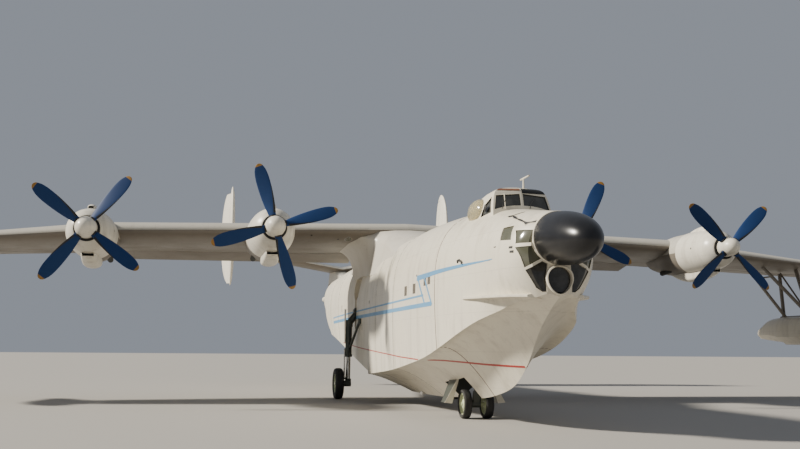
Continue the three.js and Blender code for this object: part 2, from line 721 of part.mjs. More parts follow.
function buildWing() {
  const plain = join(wingCentre(), saddle(), block(...CRANE_PAD));
  const flapHinges = FLAP_X.map((x) => hingeAt(wingAt(x), HINGE_SHARE));
  const { fixed, surface, axis } = divide(plain, flapHinges, FLAP_TRAVEL);
  const flap = turned(surface, flapHinges[0].point, axis, -FLAP_DROOP);
  // the same cut on the other side, made while the piece is mirrored
  const both = divide(mirrored(fixed), flapHinges, FLAP_TRAVEL).fixed;
  let centre = cut(both, hullSeat);
  for (const side of [1, -1]) centre = cut(centre, mainBay(side));
  add('wing_center', centre, LOOK.underside);
  add('flap_left', flap, LOOK.underside);
  add('flap_right', mirrored(flap), LOOK.underside);

  const rings = PANEL_RINGS.map((x) => wingRing(wingAt(x)));
  // the rounded tip, as [distance from the tip, share of the chord kept]
  for (const [inset, share] of [[450, 0.93], [180, 0.74], [40, 0.48], [0, 0.3]]) {
    const tip = wingAt(HALF_SPAN - inset);
    tip.y += tip.chord * (1 - share) * 0.45;
    tip.chord *= share;
    rings.push(wingRing(tip));
  }
  const hinges = AILERON_X.map((x) => hingeAt(wingAt(x), HINGE_SHARE));
  const panel = divide(solid(loft(rings)), hinges, CONTROL_TRAVEL);
  add('wing_outer_left', panel.fixed, LOOK.underside);
  add('wing_outer_right', mirrored(panel.fixed), LOOK.underside);
  add('aileron_left', panel.surface, LOOK.underside);
  add('aileron_right', mirrored(panel.surface), LOOK.underside);
}

// Engines
const NACELLE_RADIUS = 750;
const COWL_MOUTH = 370;
const FIREWALL_Y = -3950;
const ENGINE_LENGTH = 1900;
const ENGINE_RADIUS = 400;

function nacelle({ x, propY, z }, wing) {
  const front = propY + 330;
  const outside = [
    [front, COWL_MOUTH],
    [front + 30, COWL_MOUTH + 60],
    [front + 250, 590],
    [front + 700, 690],
    [front + 1300, 735],
    [front + 1900, NACELLE_RADIUS],
    [-3300, NACELLE_RADIUS],
    [-2300, 680],
    [-1400, 510],
    [-750, 330],
    [-350, 60],
    [-350, 0],
  ];
  const inside = [
    [FIREWALL_Y, 0],
    [FIREWALL_Y, 640],
    [front + 900, 600],
    [front + 300, 520],
    [front + 60, COWL_MOUTH - 4],
    [front - 20, COWL_MOUTH - 4],
    [front - 20, 0],
  ];
  let body = turnedAboutY([[front, 0], ...outside], x, z, 18);
  const chinFront = front + 620;
  const chin = solid(loft([
    [chinFront, 250, 640, 800], [chinFront + 500, 300, 600, 1000],
    [chinFront + 1400, 320, 560, 1080], [chinFront + 2900, 200, 500, 760],
  ].map(([y, half, top, bottom]) => [[-half, top], [half, top], [half, bottom - 130],
    [half * 0.6, bottom], [-half * 0.6, bottom], [-half, bottom - 130]]
    .map(([dx, drop]) => V(x + dx, y, z - drop)))));
  const slot = block([x - 170, x + 170], [chinFront - 100, chinFront + 500], [z - 765, z - 645]);
  const nub = solid(loft([
    [front + 900, 100, 680, 820], [front + 1250, 140, 680, 900], [front + 2300, 80, 690, 780],
  ].map(([y, half, low, high]) => [[-half, low], [half, low], [half * 0.7, high],
    [-half * 0.7, high]].map(([dx, up]) => V(x + dx, y, z + up)))));
  const pipes = [-1, 1].map((side) => bar(V(x + side * 380, -3300, z - 480),
    V(x + side * 400, -2250, z - 600), 110, 95));
  const bores = [-1, 1].map((side) => bar(V(x + side * 396, -2450, z - 577),
    V(x + side * 401, -2200, z - 606), 70, 70));
  body = join(body, chin, nub, ...pipes);
  return cut(body, turnedAboutY(inside.reverse(), x, z, 18), slot, ...bores, wing);
}

function engineBlock({ x, propY, z }) {
  const rear = FIREWALL_Y - SEAT_GAP;
  const front = rear - ENGINE_LENGTH - (propY < -6600 ? 380 : 0);
  return { block: bar(V(x, front, z), V(x, rear, z), ENGINE_RADIUS, ENGINE_RADIUS, 20), front };
}

// One blade, as [distance from the hub, chord, thickness, pitch in degrees]
const BLADE = [
  [120, 150, 120, 45],
  [380, 270, 100, 38],
  [700, 370, 55, 32],
  [1100, 430, 32, 27],
  [1500, 430, 22, 23],
  [1750, 360, 16, 21],
  [1890, 240, 12, 20],
  [PROP_RADIUS, 80, 8, 20],
];

function bladeAt(centre, angle) {
  const sides = 6;
  const rings = BLADE.map(([reach, chord, thick, pitch]) => {
    const turn = -rad(pitch); // the edge that leads as it turns clockwise is the forward one
    return Array.from({ length: sides }, (_, i) => {
      const a = (i / sides) * 2 * Math.PI;
      const u = (chord / 2) * Math.cos(a);
      const w = (thick / 2) * Math.sin(a);
      const across = u * Math.cos(turn) - w * Math.sin(turn);
      const fore = u * Math.sin(turn) + w * Math.cos(turn);
      return V(
        centre.x + reach * Math.sin(angle) + across * Math.cos(angle),
        centre.y + fore,
        centre.z + reach * Math.cos(angle) - across * Math.sin(angle),
      );
    });
  });
  return solid(loft(rings));
}

function propeller({ x, propY, z, phase }, engineFront) {
  const rows = [[propY - 430, 0]];
  const domeSteps = 5;
  for (let i = 1; i <= domeSteps; i += 1) {
    const a = (i / domeSteps) * (Math.PI / 2);
    rows.push([propY + 20 - 450 * Math.cos(a), SPINNER_RADIUS * Math.sin(a)]);
  }
  rows.push([propY + 290, SPINNER_RADIUS], [propY + 290, 0]);
  const spinner = turnedAboutY(rows, x, z, 16);
  const shaft = bar(V(x, propY + 200, z), V(x, engineFront - SEAT_GAP, z), 90);
  const blades = [0, 1, 2, 3].map((k) => bladeAt(V(x, propY, z), phase + (k * Math.PI) / 2));
  return join(spinner, shaft, ...blades);
}

function buildEngines() {
  const wing = wingCentre(SEAT_GAP);
  const [first, second] = PANEL_RINGS.map(wingAt);
  const outerPart = solid(loft([{ ...first, x: PANEL_X - 5 }, first, second]
    .map((section) => wingRing(section, SEAT_GAP))));
  const wings = join(wing, outerPart, mirrored(outerPart));
  for (const engine of ENGINES) {
    const { block: plain, front } = engineBlock(engine);
    add(`nacelle_${engine.name}`, nacelle(engine, wings), LOOK.white);
    add(`engine_${engine.name}`, plain, LOOK.engine);
    add(`propeller_${engine.name}`, propeller(engine, front), LOOK.blue);
  }
}

// Tail
const FIN_THICKNESS = 0.11;
const FIN_HINGE_SHARE = 0.56;
const RUDDER_Z = [5010, 5500, 6300, 7400, 8420, 9120, 9590];

function finChord(z) {
  const middle = (FIN_TOP + FIN_BOTTOM) / 2;
  const reach = Math.min(Math.abs(z - middle) / ((FIN_TOP - FIN_BOTTOM) / 2), 1);
  return FIN_CHORD * Math.sqrt(Math.max(1 - reach ** 2.6, 0.012));
}

const finHalf = (t, z) => thicknessAt(t, FIN_THICKNESS) * finChord(z) + TRAILING_HALF;

function finAt(z, grow = 0) {
  const ring = [];
  for (let i = 0; i < 2 * SECTION_STEPS; i += 1) {
    const a = (i / SECTION_STEPS) * Math.PI;
    const t = (1 + Math.cos(a)) / 2;
    const half = finHalf(t, z) + grow;
    const y = FIN_HINGE_Y + (t - FIN_HINGE_SHARE) * finChord(z);
    ring.push(V(FIN_X + (Math.sin(a) >= 0 ? half : -half), y, z));
  }
  return ring;
}

function finBody(grow = 0) {
  const count = 9;
  const rings = [];
  for (let i = 0; i <= count; i += 1) {
    const share = (1 - Math.cos((i / count) * Math.PI)) / 2;
    rings.push(finAt(lerp(FIN_BOTTOM, FIN_TOP, share), grow));
  }
  return solid(loft(rings));
}

function tailplaneAt(x) {
  const share = x / FIN_X;
  return {
    x,
    y: lerp(12150, 12450, share),
    z: TAILPLANE_Z - x * TAILPLANE_DROP,
    chord: lerp(2900, 2400, share),
    thick: 0.12,
    camber: 0,
    twist: 0,
  };
}

const ELEVATOR_X = [700, 4750];

function buildTail() {
  const half = solid(loft([0, ELEVATOR_X[1], FIN_X - 40].map((x) => wingRing(tailplaneAt(x)))));
  const hinges = ELEVATOR_X.map((x) => hingeAt(tailplaneAt(x), 0.66));
  const { fixed, surface } = divide(half, hinges, CONTROL_TRAVEL);
  // the tip is cut back behind the elevator's outer pin, and round the rudder's nose
  const tipCut = block([ELEVATOR_X[1] - 10, FIN_X + 100], [14110, 16500], [5500, 8500]);
  const rudderRoom = bar(V(FIN_X, FIN_HINGE_Y, 5500), V(FIN_X, FIN_HINGE_Y, 8500), 205, 205, 12);
  const side = cut(fixed, tipCut, rudderRoom, finBody(SEAT_GAP));
  const pylon = solid(loft([
    [11300, 5060, 5160, 60], [12200, 5040, 5560, 330], [13200, 5030, 5850, 420],
    [14400, 5000, 5810, 380], [15500, 4900, 5530, 200], [16300, 4800, 5120, 40],
  ].map(([y, low, high, width]) => [V(-width - 60, y, low), V(width + 60, y, low),
    V(width, y, high - 90), V(width * 0.5, y, high), V(-width * 0.5, y, high),
    V(-width, y, high - 90)])));
  const centre = cut(join(side, mirrored(side), pylon), hullSeat);
  add('tailplane', centre, LOOK.white);
  add('elevator_left', surface, LOOK.white);
  add('elevator_right', mirrored(surface), LOOK.white);

  const posts = RUDDER_Z.map((z) => ({
    point: V(FIN_X, FIN_HINGE_Y, z),
    half: finHalf(FIN_HINGE_SHARE, z) - 4,
  }));
  const parts = divide(finBody(), posts, CONTROL_TRAVEL);
  add('fin_left', parts.fixed, LOOK.white);
  add('fin_right', mirrored(parts.fixed), LOOK.white);
  add('rudder_left', parts.surface, LOOK.white);
  const swung = turned(mirrored(parts.surface), V(-FIN_X, FIN_HINGE_Y, 0), V(0, 0, 1),
    STARBOARD_RUDDER_REST);
  add('rudder_right', swung, LOOK.white);

  const boom = turnedAboutY([
    [17200 + SEAT_GAP, 0], [17200 + SEAT_GAP, 190], [17700, 120], [18300, 85], [18360, 150],
    [19200, 150], [19400, 90], [TAIL_Y, 0],
  ], 0, 4520, 20);
  add('tail_boom', boom, LOOK.white);
}

// Landing gear
function tyreRows(x, wheel) {
  const { radius, width } = wheel;
  const half = width / 2;
  return [
    [x - half * 0.7, 0], [x - half * 0.7, radius * 0.52], [x - half, radius * 0.74],
    [x - half * 0.82, radius * 0.93], [x - half * 0.4, radius], [x + half * 0.4, radius],
    [x + half * 0.82, radius * 0.93], [x + half, radius * 0.74], [x + half * 0.7, radius * 0.52],
    [x + half * 0.7, 0],
  ];
}

function buildMainGear() {
  const { x, y, radius, width } = MAIN_WHEEL;
  const wheelRows = tyreRows(x, MAIN_WHEEL);
  const boreRadius = MAIN_AXLE + 1.5;
  const bore = bar(V(x - 300, y, radius), V(x + 300, y, radius), boreRadius, boreRadius, 16);
  const wheel = cut(turnedAboutX(wheelRows, y, radius), bore);
  add('main_wheel_left', wheel, LOOK.tyre);
  add('main_wheel_right', mirrored(wheel), LOOK.tyre);

  const kneeZ = 2660;
  const leg = join(
    bar(V(MAIN_LEG_X, y, 1500), V(MAIN_LEG_X, y, kneeZ), 115),
    bar(V(MAIN_LEG_X, y, radius - 60), V(MAIN_LEG_X, y, 1520), 78),
    bar(V(MAIN_LEG_X, y, radius), V(x + width * 0.42, y, radius), MAIN_AXLE, MAIN_AXLE, 16),
    bar(V(MAIN_LEG_X - 95, y, radius), V(x - width * 0.35 - SEAT_GAP, y, radius), 105),
    bar(V(MAIN_LEG_X, y, kneeZ - 20), V(1480, y, 3050), 130),
    bar(V(MAIN_LEG_X, y, kneeZ - 130), V(MAIN_LEG_X, y, kneeZ + 110), 140),
    bar(V(1500, y - 155, 3090), V(1500, y + 155, 3090), 120),
    // the drag brace, forward and up to the hull's side
    bar(V(MAIN_LEG_X - 20, y, 1700), V(1580, y - 1150, 2700), 52),
    bar(V(1555, y - 1150, 2610), V(1555, y - 1150, 2790), 85),
    // the slim rod beside the leg
    bar(V(MAIN_LEG_X + 140, y, 700), V(MAIN_LEG_X + 140, y, 1750), 28),
    bar(V(MAIN_LEG_X, y, 720), V(MAIN_LEG_X + 150, y, 720), 34),
    bar(V(MAIN_LEG_X, y, 1730), V(MAIN_LEG_X + 150, y, 1730), 34),
  );
  // the fairing strip that the leg carries
  const strip = prism('x', [[y - 150, 3150], [y + 150, 3150], [y + 60, 1950], [y - 60, 1950]],
    MAIN_LEG_X + 112, MAIN_LEG_X + 150);
  const full = cut(join(leg, strip), hullSeat.subtract(mainBay(1)));
  add('main_leg_left', full, LOOK.gear);
  add('main_leg_right', mirrored(full), LOOK.gear);
}

function buildNoseGear() {
  const { x, y, radius, width } = NOSE_WHEEL;
  const wheel = (side) => turnedAboutX(tyreRows(side * x, NOSE_WHEEL), y, radius);
  const axle = bar(V(-x - width / 2, y, radius), V(x + width / 2, y, radius), NOSE_AXLE,
    NOSE_AXLE, 24);
  add('nose_wheels', join(wheel(1), wheel(-1), axle), LOOK.tyre);

  const fork = join(
    bar(V(0, STEER_Y, 640), V(0, STEER_Y, 1190 - SEAT_GAP), 70),
    bar(V(-110, y, radius), V(110, y, radius), 95),
    // the lug that a tow bar pins to
    block([-60, 60], [STEER_Y - 190, STEER_Y], [700, 790]),
    solid(loft([
      [V(-90, y - 80, radius), V(90, y - 80, radius), V(90, y + 80, radius), V(-90, y + 80, radius)],
      [V(-80, STEER_Y - 75, 700), V(80, STEER_Y - 75, 700), V(80, STEER_Y + 75, 700),
        V(-80, STEER_Y + 75, 700)],
    ])),
  );
  const boreRadius = NOSE_AXLE + 0.9;
  const bore = bar(V(-200, y, radius), V(200, y, radius), boreRadius, boreRadius, 24);
  add('nose_fork', cut(fork, bore), LOOK.gear);

  const top = WELL.roof - SEAT_GAP;
  const leg = join(
    bar(V(0, STEER_Y, 1250), V(0, STEER_Y, top), 125),
    bar(V(0, STEER_Y, 1400), V(0, WELL.rear - 200, top - 70), 55),
    block([-90, 90], [WELL.rear - 320, WELL.rear - 100], [top - 120, top]),
    block([-220, 220], [STEER_Y - 200, STEER_Y + 200], [top - 60, top]),
  );
  const sleeve = bar(V(0, STEER_Y, 1100), V(0, STEER_Y, 1300), 125);
  const socket = bar(V(0, STEER_Y, 1000), V(0, STEER_Y, 1190), 76);
  add('nose_leg', cut(join(leg, sleeve), socket), LOOK.gear);

  // door section as [x, z], hinged at the well's edge and splayed out as it hangs
  const section = prism('y', [[405, 1080], [466, 1080], [495, 960], [810, 400], [610, 380]],
    -11700, -10500);
  const outline = prism('x', [[-11600, 1200], [-11600, 300], [-11300, 300], [-10700, 1200]], 0, 1000);
  const hinge = block([400, 530], [-11400, -10800], [900, 1060]);
  const door = join(section.intersect(outline), hinge);
  const seated = keepLargest(cut(door, hullSeat.subtract(noseWell(SEAT_GAP))));
  add('nose_door_left', seated, LOOK.white);
  add('nose_door_right', mirrored(seated), LOOK.white);
}

// Stabilising floats on their struts
function buildFloats() {
  const length = FLOAT.stern - FLOAT.bow;
  // share of the length, half width, keel z, chine z, top z
  const rows = [
    [0, 40, 2680, 2740, 2800],
    [0.08, 220, 2380, 2560, 2950],
    [0.2, 350, 2150, 2420, 3050],
    [0.4, FLOAT.halfWidth, FLOAT.bottom, 2330, FLOAT.top],
    [0.62, FLOAT.halfWidth, FLOAT.bottom, 2330, FLOAT.top],
    [0.625, 425, 2120, 2360, FLOAT.top],
    [0.82, 300, 2200, 2420, 3000],
    [1, 130, 2290, 2420, 2660],
  ];
  const rings = rows.map(([share, half, keel, chine, top]) => {
    const y = FLOAT.bow + share * length;
    const side = [[0, keel], [half, chine], [half * 1.02, lerp(chine, top, 0.35)],
      [half * 0.86, lerp(chine, top, 0.75)], [half * 0.45, lerp(chine, top, 0.97)], [0, top]];
    const other = side.slice(1, -1).reverse().map(([x, z]) => [-x, z]);
    return [...side, ...other].map(([x, z]) => V(FLOAT_X + x, y, z));
  });
  const body = solid(loft(rings));
  add('float_left', body, LOOK.white);
  add('float_right', mirrored(body), LOOK.white);

  const topOf = (x, y) => V(x, y, 5200);
  const foot = (x, y) => V(x, y, 2900);
  // N struts: two uprights, a diagonal between them, and braces from inboard
  const members = [
    [foot(FLOAT_X, -3300), topOf(FLOAT_X, -2300), 75],
    [foot(FLOAT_X, -1600), topOf(FLOAT_X, -1350), 75],
    [foot(FLOAT_X, -3250), topOf(FLOAT_X, -1400), 45],
    [V(FLOAT_X, -3200, 3130), topOf(FLOAT_X - 1500, -2250), 60],
    [V(FLOAT_X, -1650, 3130), topOf(FLOAT_X - 1500, -1350), 60],
  ];
  const feet = bar(V(FLOAT_X, -3450, 3080), V(FLOAT_X, -1350, 3080), 95);
  const tie = bar(V(FLOAT_X - 1065, -2525, 4600), V(FLOAT_X - 1065, -1437, 4600), 30);
  const frame = join(feet, tie, ...members.map(([a, b, r]) => bar(a, b, r)));
  const panel = solid(loft(PANEL_RINGS.slice(1).map((x) => wingRing(wingAt(x), SEAT_GAP))));
  const above = block([12500, 17000], [-4000, 1500], [5000, 5600]);
  const floatSeat = solid(loft(rings.map((ring) => ring.map((p) => {
    const centre = V(FLOAT_X, p.y, 2650);
    const out = p.clone().sub(centre);
    return p.clone().addScaledVector(out.normalize(), SEAT_GAP);
  }))));
  const seated = keepLargest(cut(frame, panel, above, floatSeat));
  add('float_struts_left', seated, LOOK.underside);
  add('float_struts_right', mirrored(seated), LOOK.underside);
}

// Drops the ends that a cut leaves beyond the piece
function keepLargest(manifold) {
  const parts = manifold.decompose();
  return parts.reduce((best, part) => (part.volume() > best.volume() ? part : best));
}

const GUN_SLOT_HALF = 260;
function buildTurret() {
  const base = DECK_Z - 260 + SEAT_GAP;
  const ring = turretPost(TURRET_RADIUS, base, DECK_Z + 70);
  const dome = ellipsoid(V(0, TURRET_Y, DECK_Z + 60), V(470, 560, 420), 16)
    .subtract(block([-700, 700], [TURRET_Y - 900, TURRET_Y + 900], [4000, DECK_Z + 50]));
  const slot = block([-GUN_SLOT_HALF, GUN_SLOT_HALF], [TURRET_Y + 180, TURRET_Y + 900],
    [DECK_Z + 120, DECK_Z + 700]);
  add('turret', cut(join(ring, dome), slot), LOOK.white);
  const pivotZ = DECK_Z + 250;
  const guns = [-1, 1].map((side) => bar(V(side * 110, TURRET_Y + 240, pivotZ),
    V(side * 110, TURRET_Y + 1500, pivotZ), 32, 22));
  const reach = GUN_SLOT_HALF - SEAT_GAP;
  const cradle = bar(V(-reach, TURRET_Y + 270, pivotZ), V(reach, TURRET_Y + 270, pivotZ), 80);
  add('turret_guns', join(cradle, ...guns), LOOK.gear);
}

const WATER_RUDDER_Y = 9560;
function buildWaterRudder() {
  const blade = prism('x', [[9570, 1850], [9900, 1900], [9960, 2400], [9570, 2560]], -30, 30);
  const post = bar(V(0, WATER_RUDDER_Y, 1850), V(0, WATER_RUDDER_Y, 2641), 45);
  add('water_rudder', join(blade, post), LOOK.white);
}

const MAST = { x: 190, y: -15000, foot: 5350, top: 5670, ahead: 400, aft: 190 };
function buildMast() {
  const mast = join(
    bar(V(MAST.x, MAST.y, MAST.foot), V(MAST.x, MAST.y, MAST.top), 28, 20),
    bar(V(MAST.x, MAST.y - MAST.ahead, MAST.top), V(MAST.x, MAST.y + MAST.aft, MAST.top), 24),
  );
  add('antenna_mast', cut(mast, canopyBody(-SEAT_GAP)), LOOK.white);
}

buildHull();
buildRadome();
buildNose();
buildCockpit();
buildWing();
buildEngines();
buildTail();
buildMainGear();
buildNoseGear();
buildFloats();
buildTurret();
buildWaterRudder();
buildMast();

export default group;
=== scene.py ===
# A four-engined flying boat that stands on its wheels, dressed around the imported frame.
# Metres. x points to port, y points aft and z points up.
import math

import bmesh
import bpy
from mathutils import Matrix, Vector


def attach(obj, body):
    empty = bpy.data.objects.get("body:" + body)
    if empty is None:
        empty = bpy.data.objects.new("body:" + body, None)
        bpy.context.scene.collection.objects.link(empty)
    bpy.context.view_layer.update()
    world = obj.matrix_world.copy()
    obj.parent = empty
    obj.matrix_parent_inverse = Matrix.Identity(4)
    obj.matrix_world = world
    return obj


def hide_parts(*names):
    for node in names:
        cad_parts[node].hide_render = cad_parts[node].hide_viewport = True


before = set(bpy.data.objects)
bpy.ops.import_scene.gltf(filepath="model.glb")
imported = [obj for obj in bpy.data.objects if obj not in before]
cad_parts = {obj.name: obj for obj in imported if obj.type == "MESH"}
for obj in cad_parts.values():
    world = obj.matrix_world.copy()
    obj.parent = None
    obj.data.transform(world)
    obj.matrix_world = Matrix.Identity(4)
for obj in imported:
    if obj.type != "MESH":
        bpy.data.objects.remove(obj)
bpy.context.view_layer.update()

# Driving dimensions, the same as in part.mjs
HALF_LENGTH = 19.45
HALF_SPAN = 18.0
WING_LE_Y = -3.45
WING_LE_Z = 5.83
WING_CHORD = 4.5
PANEL_X = 10.3
TIP_CHORD = 2.3
INNER_DROP = 0.031
OUTER_DROP = 0.083
OUTER_SWEEP = 0.072
ROOT_INCIDENCE = math.radians(7.5)
PANEL_INCIDENCE = math.radians(4)
ROOT_THICKNESS = 0.16
TIP_THICKNESS = 0.12
FLAP_DROOP = math.radians(12)
HINGE_SHARE = 0.75
TAIL_HINGE_SHARE = 0.66
FLAP_X = (1.45, 9.65)
AILERON_X = (11.0, 17.2)
ELEVATOR_X = (0.7, 4.75)
END_GAP = 0.025
RUN_GAP = 0.012

PROP_RADIUS = 1.97
SPINNER_RADIUS = 0.315
ENGINES = [  # name, x, propeller's y, z, rest angle
    ("1", 10.36, -6.40, 5.24, -0.787),
    ("2", 4.845, -6.78, 5.40, 0.428),
    ("3", -4.845, -6.78, 5.40, -0.291),
    ("4", -10.36, -6.40, 5.24, -0.903),
]

FIN_X = 5.48
FIN_HINGE_Y = 14.05
FIN_BOTTOM = 4.90
FIN_TOP = 9.92
FIN_CHORD = 2.45
FIN_THICKNESS = 0.11
FIN_HINGE_SHARE = 0.56
RUDDER_Z = (5.01, 9.59)
STARBOARD_RUDDER_REST = math.radians(25)
TAILPLANE_Z = 5.68
TAILPLANE_RISE = 0.165
TAILPLANE_LE_Y = (12.15, 12.45)  # in the middle and at the fins, like the chord
TAILPLANE_CHORD = (2.9, 2.4)
TAILPLANE_THICKNESS = 0.12

STEP_Y = -4.08
NOSE_FACE_Y = -17.72
RADOME_Z = 3.985
RADOME_RADIUS = 0.54
DECK_Z = 5.2
TURRET_Y = 4.6

MAIN_WHEEL_X = 2.13
MAIN_WHEEL_Y = -1.6
MAIN_WHEEL_RADIUS = 0.54
MAIN_WHEEL_WIDTH = 0.30
MAIN_LEG_X = 1.78
NOSE_WHEEL_X = 0.29
NOSE_WHEEL_Y = -11.66
NOSE_WHEEL_RADIUS = 0.37
NOSE_WHEEL_WIDTH = 0.21
STEER_Y = -11.76
FLOAT_X = 15.4

# The photograph's camera, fitted to the object
CAMERA_PLACE = Vector((-7.089, -36.326, 1.734))
CAMERA_YAW = 0.2027
CAMERA_PITCH = 0.1266
CAMERA_ROLL = 0.0075
CAMERA_LENS = 44.26
SENSOR_WIDTH = 36.0


def lerp(a, b, t):
    return a + (b - a) * t


def spread(a, b, count):
    return [lerp(a, b, i / count) for i in range(count + 1)]


def smooth_spread(a, b, count):
    """Values from a to b, closer together at both ends."""
    return [lerp(a, b, (1 - math.cos(math.pi * i / count)) / 2) for i in range(count + 1)]


def bend(a, b, c, t):
    """A curve from a to c that is drawn towards b."""
    return (1 - t) ** 2 * a + 2 * t * (1 - t) * b + t * t * c


def along(rows, at):
    """The values of a table at a first column value, with a smooth change of slope."""
    i = next((k for k, row in enumerate(rows) if row[0] > at), len(rows) - 1)
    i = max(i, 1)
    a, b = rows[i - 1], rows[i]
    before = rows[i - 2] if i >= 2 else None
    after = rows[i + 1] if i + 1 < len(rows) else None
    span = b[0] - a[0]
    t = min(max((at - a[0]) / span, 0.0), 1.0)
    values = [at]
    for k in range(1, len(a)):
        chord = (b[k] - a[k]) / span
        slope_a = chord if before is None else (b[k] - before[k]) / (b[0] - before[0])
        slope_b = chord if after is None else (after[k] - a[k]) / (after[0] - a[0])
        values.append(
            (2 * t**3 - 3 * t**2 + 1) * a[k]
            + (t**3 - 2 * t**2 + t) * span * slope_a
            + (3 * t**2 - 2 * t**3) * b[k]
            + (t**3 - t**2) * span * slope_b
        )
    return values


def stations(rows, step):
    """First column values about a step apart, with each row's own among them."""
    ys = []
    for a, b in zip(rows, rows[1:]):
        pieces = max(1, round((b[0] - a[0]) / step))
        ys += [lerp(a[0], b[0], k / pieces) for k in range(pieces)]
    return ys + [rows[-1][0]]


# Forms: each returns vertices and faces


def loft(rings, closed=True):
    """A skin through rings of equal length, with its two ends filled when it is closed."""
    count = len(rings[0])
    verts = [Vector(p) for ring in rings for p in ring]
    faces = []
    for r in range(len(rings) - 1):
        for i in range(count):
            a = r * count + i
            b = r * count + (i + 1) % count
            faces.append((a, b, b + count, a + count))
    if closed:
        faces.append(tuple(range(count - 1, -1, -1)))
        last = (len(rings) - 1) * count
        faces.append(tuple(range(last, last + count)))
    return verts, faces


def closed_loft(rings):
    """A skin through rings, the last of which joins the first."""
    verts, faces = loft(rings, closed=False)
    count = len(rings[0])
    last = (len(rings) - 1) * count
    for i in range(count):
        j = (i + 1) % count
        faces.append((last + i, last + j, j, i))
    return verts, faces


def lofted(rows, step, ring):
    """A loft through the rings that ring makes from a table's values at each station."""
    return loft([ring(*along(rows, at)) for at in stations(rows, step)])


def circle(sides):
    turns = [2 * math.pi * i / sides for i in range(sides)]
    return [(math.cos(a), math.sin(a)) for a in turns]


def both_halves(half):
    """A closed outline from its port half, both ends of which lie in the middle."""
    return half + [(-x, other) for x, other in reversed(half[1:-1])]


def lathe(rows, centre, axis="y", sides=48):
    """A form turned about an axis through centre, from rows of (distance along it, radius)."""
    return loft(lathe_rings(rows, centre, axis, sides))


def lathe_rings(rows, centre, axis, sides):
    rings = []
    for distance, radius in rows:
        ring = []
        for c, s in circle(sides):
            around = (radius * c, distance, radius * s)
            if axis == "x":
                around = (distance, radius * c, radius * s)
            if axis == "z":
                around = (radius * c, radius * s, distance)
            ring.append(Vector(centre) + Vector(around))
        rings.append(ring)
    return rings


def closed_lathe(rows, centre, axis="y", sides=48):
    """A ring: its section, as rows of (distance along the axis, radius), closes on itself."""
    return closed_loft(lathe_rings(rows, centre, axis, sides))


def tube(points, radius, sides=12):
    """A bar through points; radius may be one value or one for each point."""
    points = [Vector(p) for p in points]
    radii = radius if isinstance(radius, (list, tuple)) else [radius] * len(points)
    rings = []
    for i, point in enumerate(points):
        ahead = points[min(i + 1, len(points) - 1)] - points[max(i - 1, 0)]
        ahead.normalize()
        across = ahead.cross(Vector((0, 0, 1)))
        if across.length < 0.2:
            across = ahead.cross(Vector((0, 1, 0)))
        across.normalize()
        up = across.cross(ahead)
        rings.append([point + across * (radii[i] * c) + up * (radii[i] * s) for c, s in circle(sides)])
    return loft(rings)


def block(xs, ys, zs):
    ring = [(xs[0], zs[0]), (xs[1], zs[0]), (xs[1], zs[1]), (xs[0], zs[1])]
    return loft([[(x, y, z) for x, z in ring] for y in ys])


def prism(axis, outline, start, end):
    """An outline pushed along an axis: x takes (y, z) pairs, y takes (x, z) and z takes (x, y)."""
    place = {
        "x": lambda a, b, c: (c, a, b),
        "y": lambda a, b, c: (a, c, b),
        "z": lambda a, b, c: (a, b, c),
    }[axis]
    return loft([[place(a, b, c) for a, b in outline] for c in (start, end)])


def ball(centre, radii, sides=32):
    """An ellipsoid, with a tiny flat at each end of its y axis."""
    end = 0.02
    turns = [math.pi * i / (sides // 2) for i in range(1, sides // 2)]
    rings = []
    for a in [end, *turns, math.pi - end]:
        wide, high, y = radii[0] * math.sin(a), radii[2] * math.sin(a), -radii[1] * math.cos(a)
        rings.append([Vector(centre) + Vector((wide * c, y, high * s)) for c, s in circle(sides)])
    return loft(rings)


def arch(half, base, crest, crown, count, foot=0.0):
    """An outline with a flat base and an arched crest; foot widens the base."""
    outline = [(-half - foot, base), (half + foot, base)]
    for a in spread(0, math.pi, count):
        outline.append((half * math.cos(a), crest - crown + crown * math.sin(a)))
    return outline


def mirrored(form):
    verts, faces = form
    return [Vector((-v.x, v.y, v.z)) for v in verts], [tuple(reversed(f)) for f in faces]


def turned(form, point, axis, angle):
    verts, faces = form
    there, back = Matrix.Translation(point), Matrix.Translation(-Vector(point))
    matrix = there @ Matrix.Rotation(angle, 4, axis) @ back
    return [matrix @ v for v in verts], faces


def gather(forms):
    """Several forms as one."""
    verts, faces = [], []
    for own_verts, own_faces in forms:
        base = len(verts)
        verts += own_verts
        faces += [tuple(i + base for i in face) for face in own_faces]
    return verts, faces


def slab(rows_top, rows_low):
    """A thin closed solid between two grids of points."""
    height, width = len(rows_top), len(rows_top[0])
    verts = [Vector(p) for row in rows_top for p in row] + [Vector(p) for row in rows_low for p in row]
    low = height * width
    faces = []
    for r in range(height - 1):
        for i in range(width - 1):
            a = r * width + i
            faces.append((a, a + 1, a + 1 + width, a + width))
            faces.append((a + low, a + width + low, a + 1 + width + low, a + 1 + low))
    border = (
        [(0, i) for i in range(width)]
        + [(r, width - 1) for r in range(1, height)]
        + [(height - 1, i) for i in range(width - 2, -1, -1)]
        + [(r, 0) for r in range(height - 2, 0, -1)]
    )
    for k, (r, i) in enumerate(border):
        r2, i2 = border[(k + 1) % len(border)]
        a, b = r * width + i, r2 * width + i2
        faces.append((a, a + low, b + low, b))
    return verts, faces


# Objects

# Edges sharper than this many degrees stay sharp: on most pieces, on the hull, on the cowls,
# canopy and turret, on the intakes and on the saddle
SHARP_ANGLE = 32
HULL_SHARP = 28
ROUND_SHARP = 40
INTAKE_SHARP = 35
SADDLE_SHARP = 50


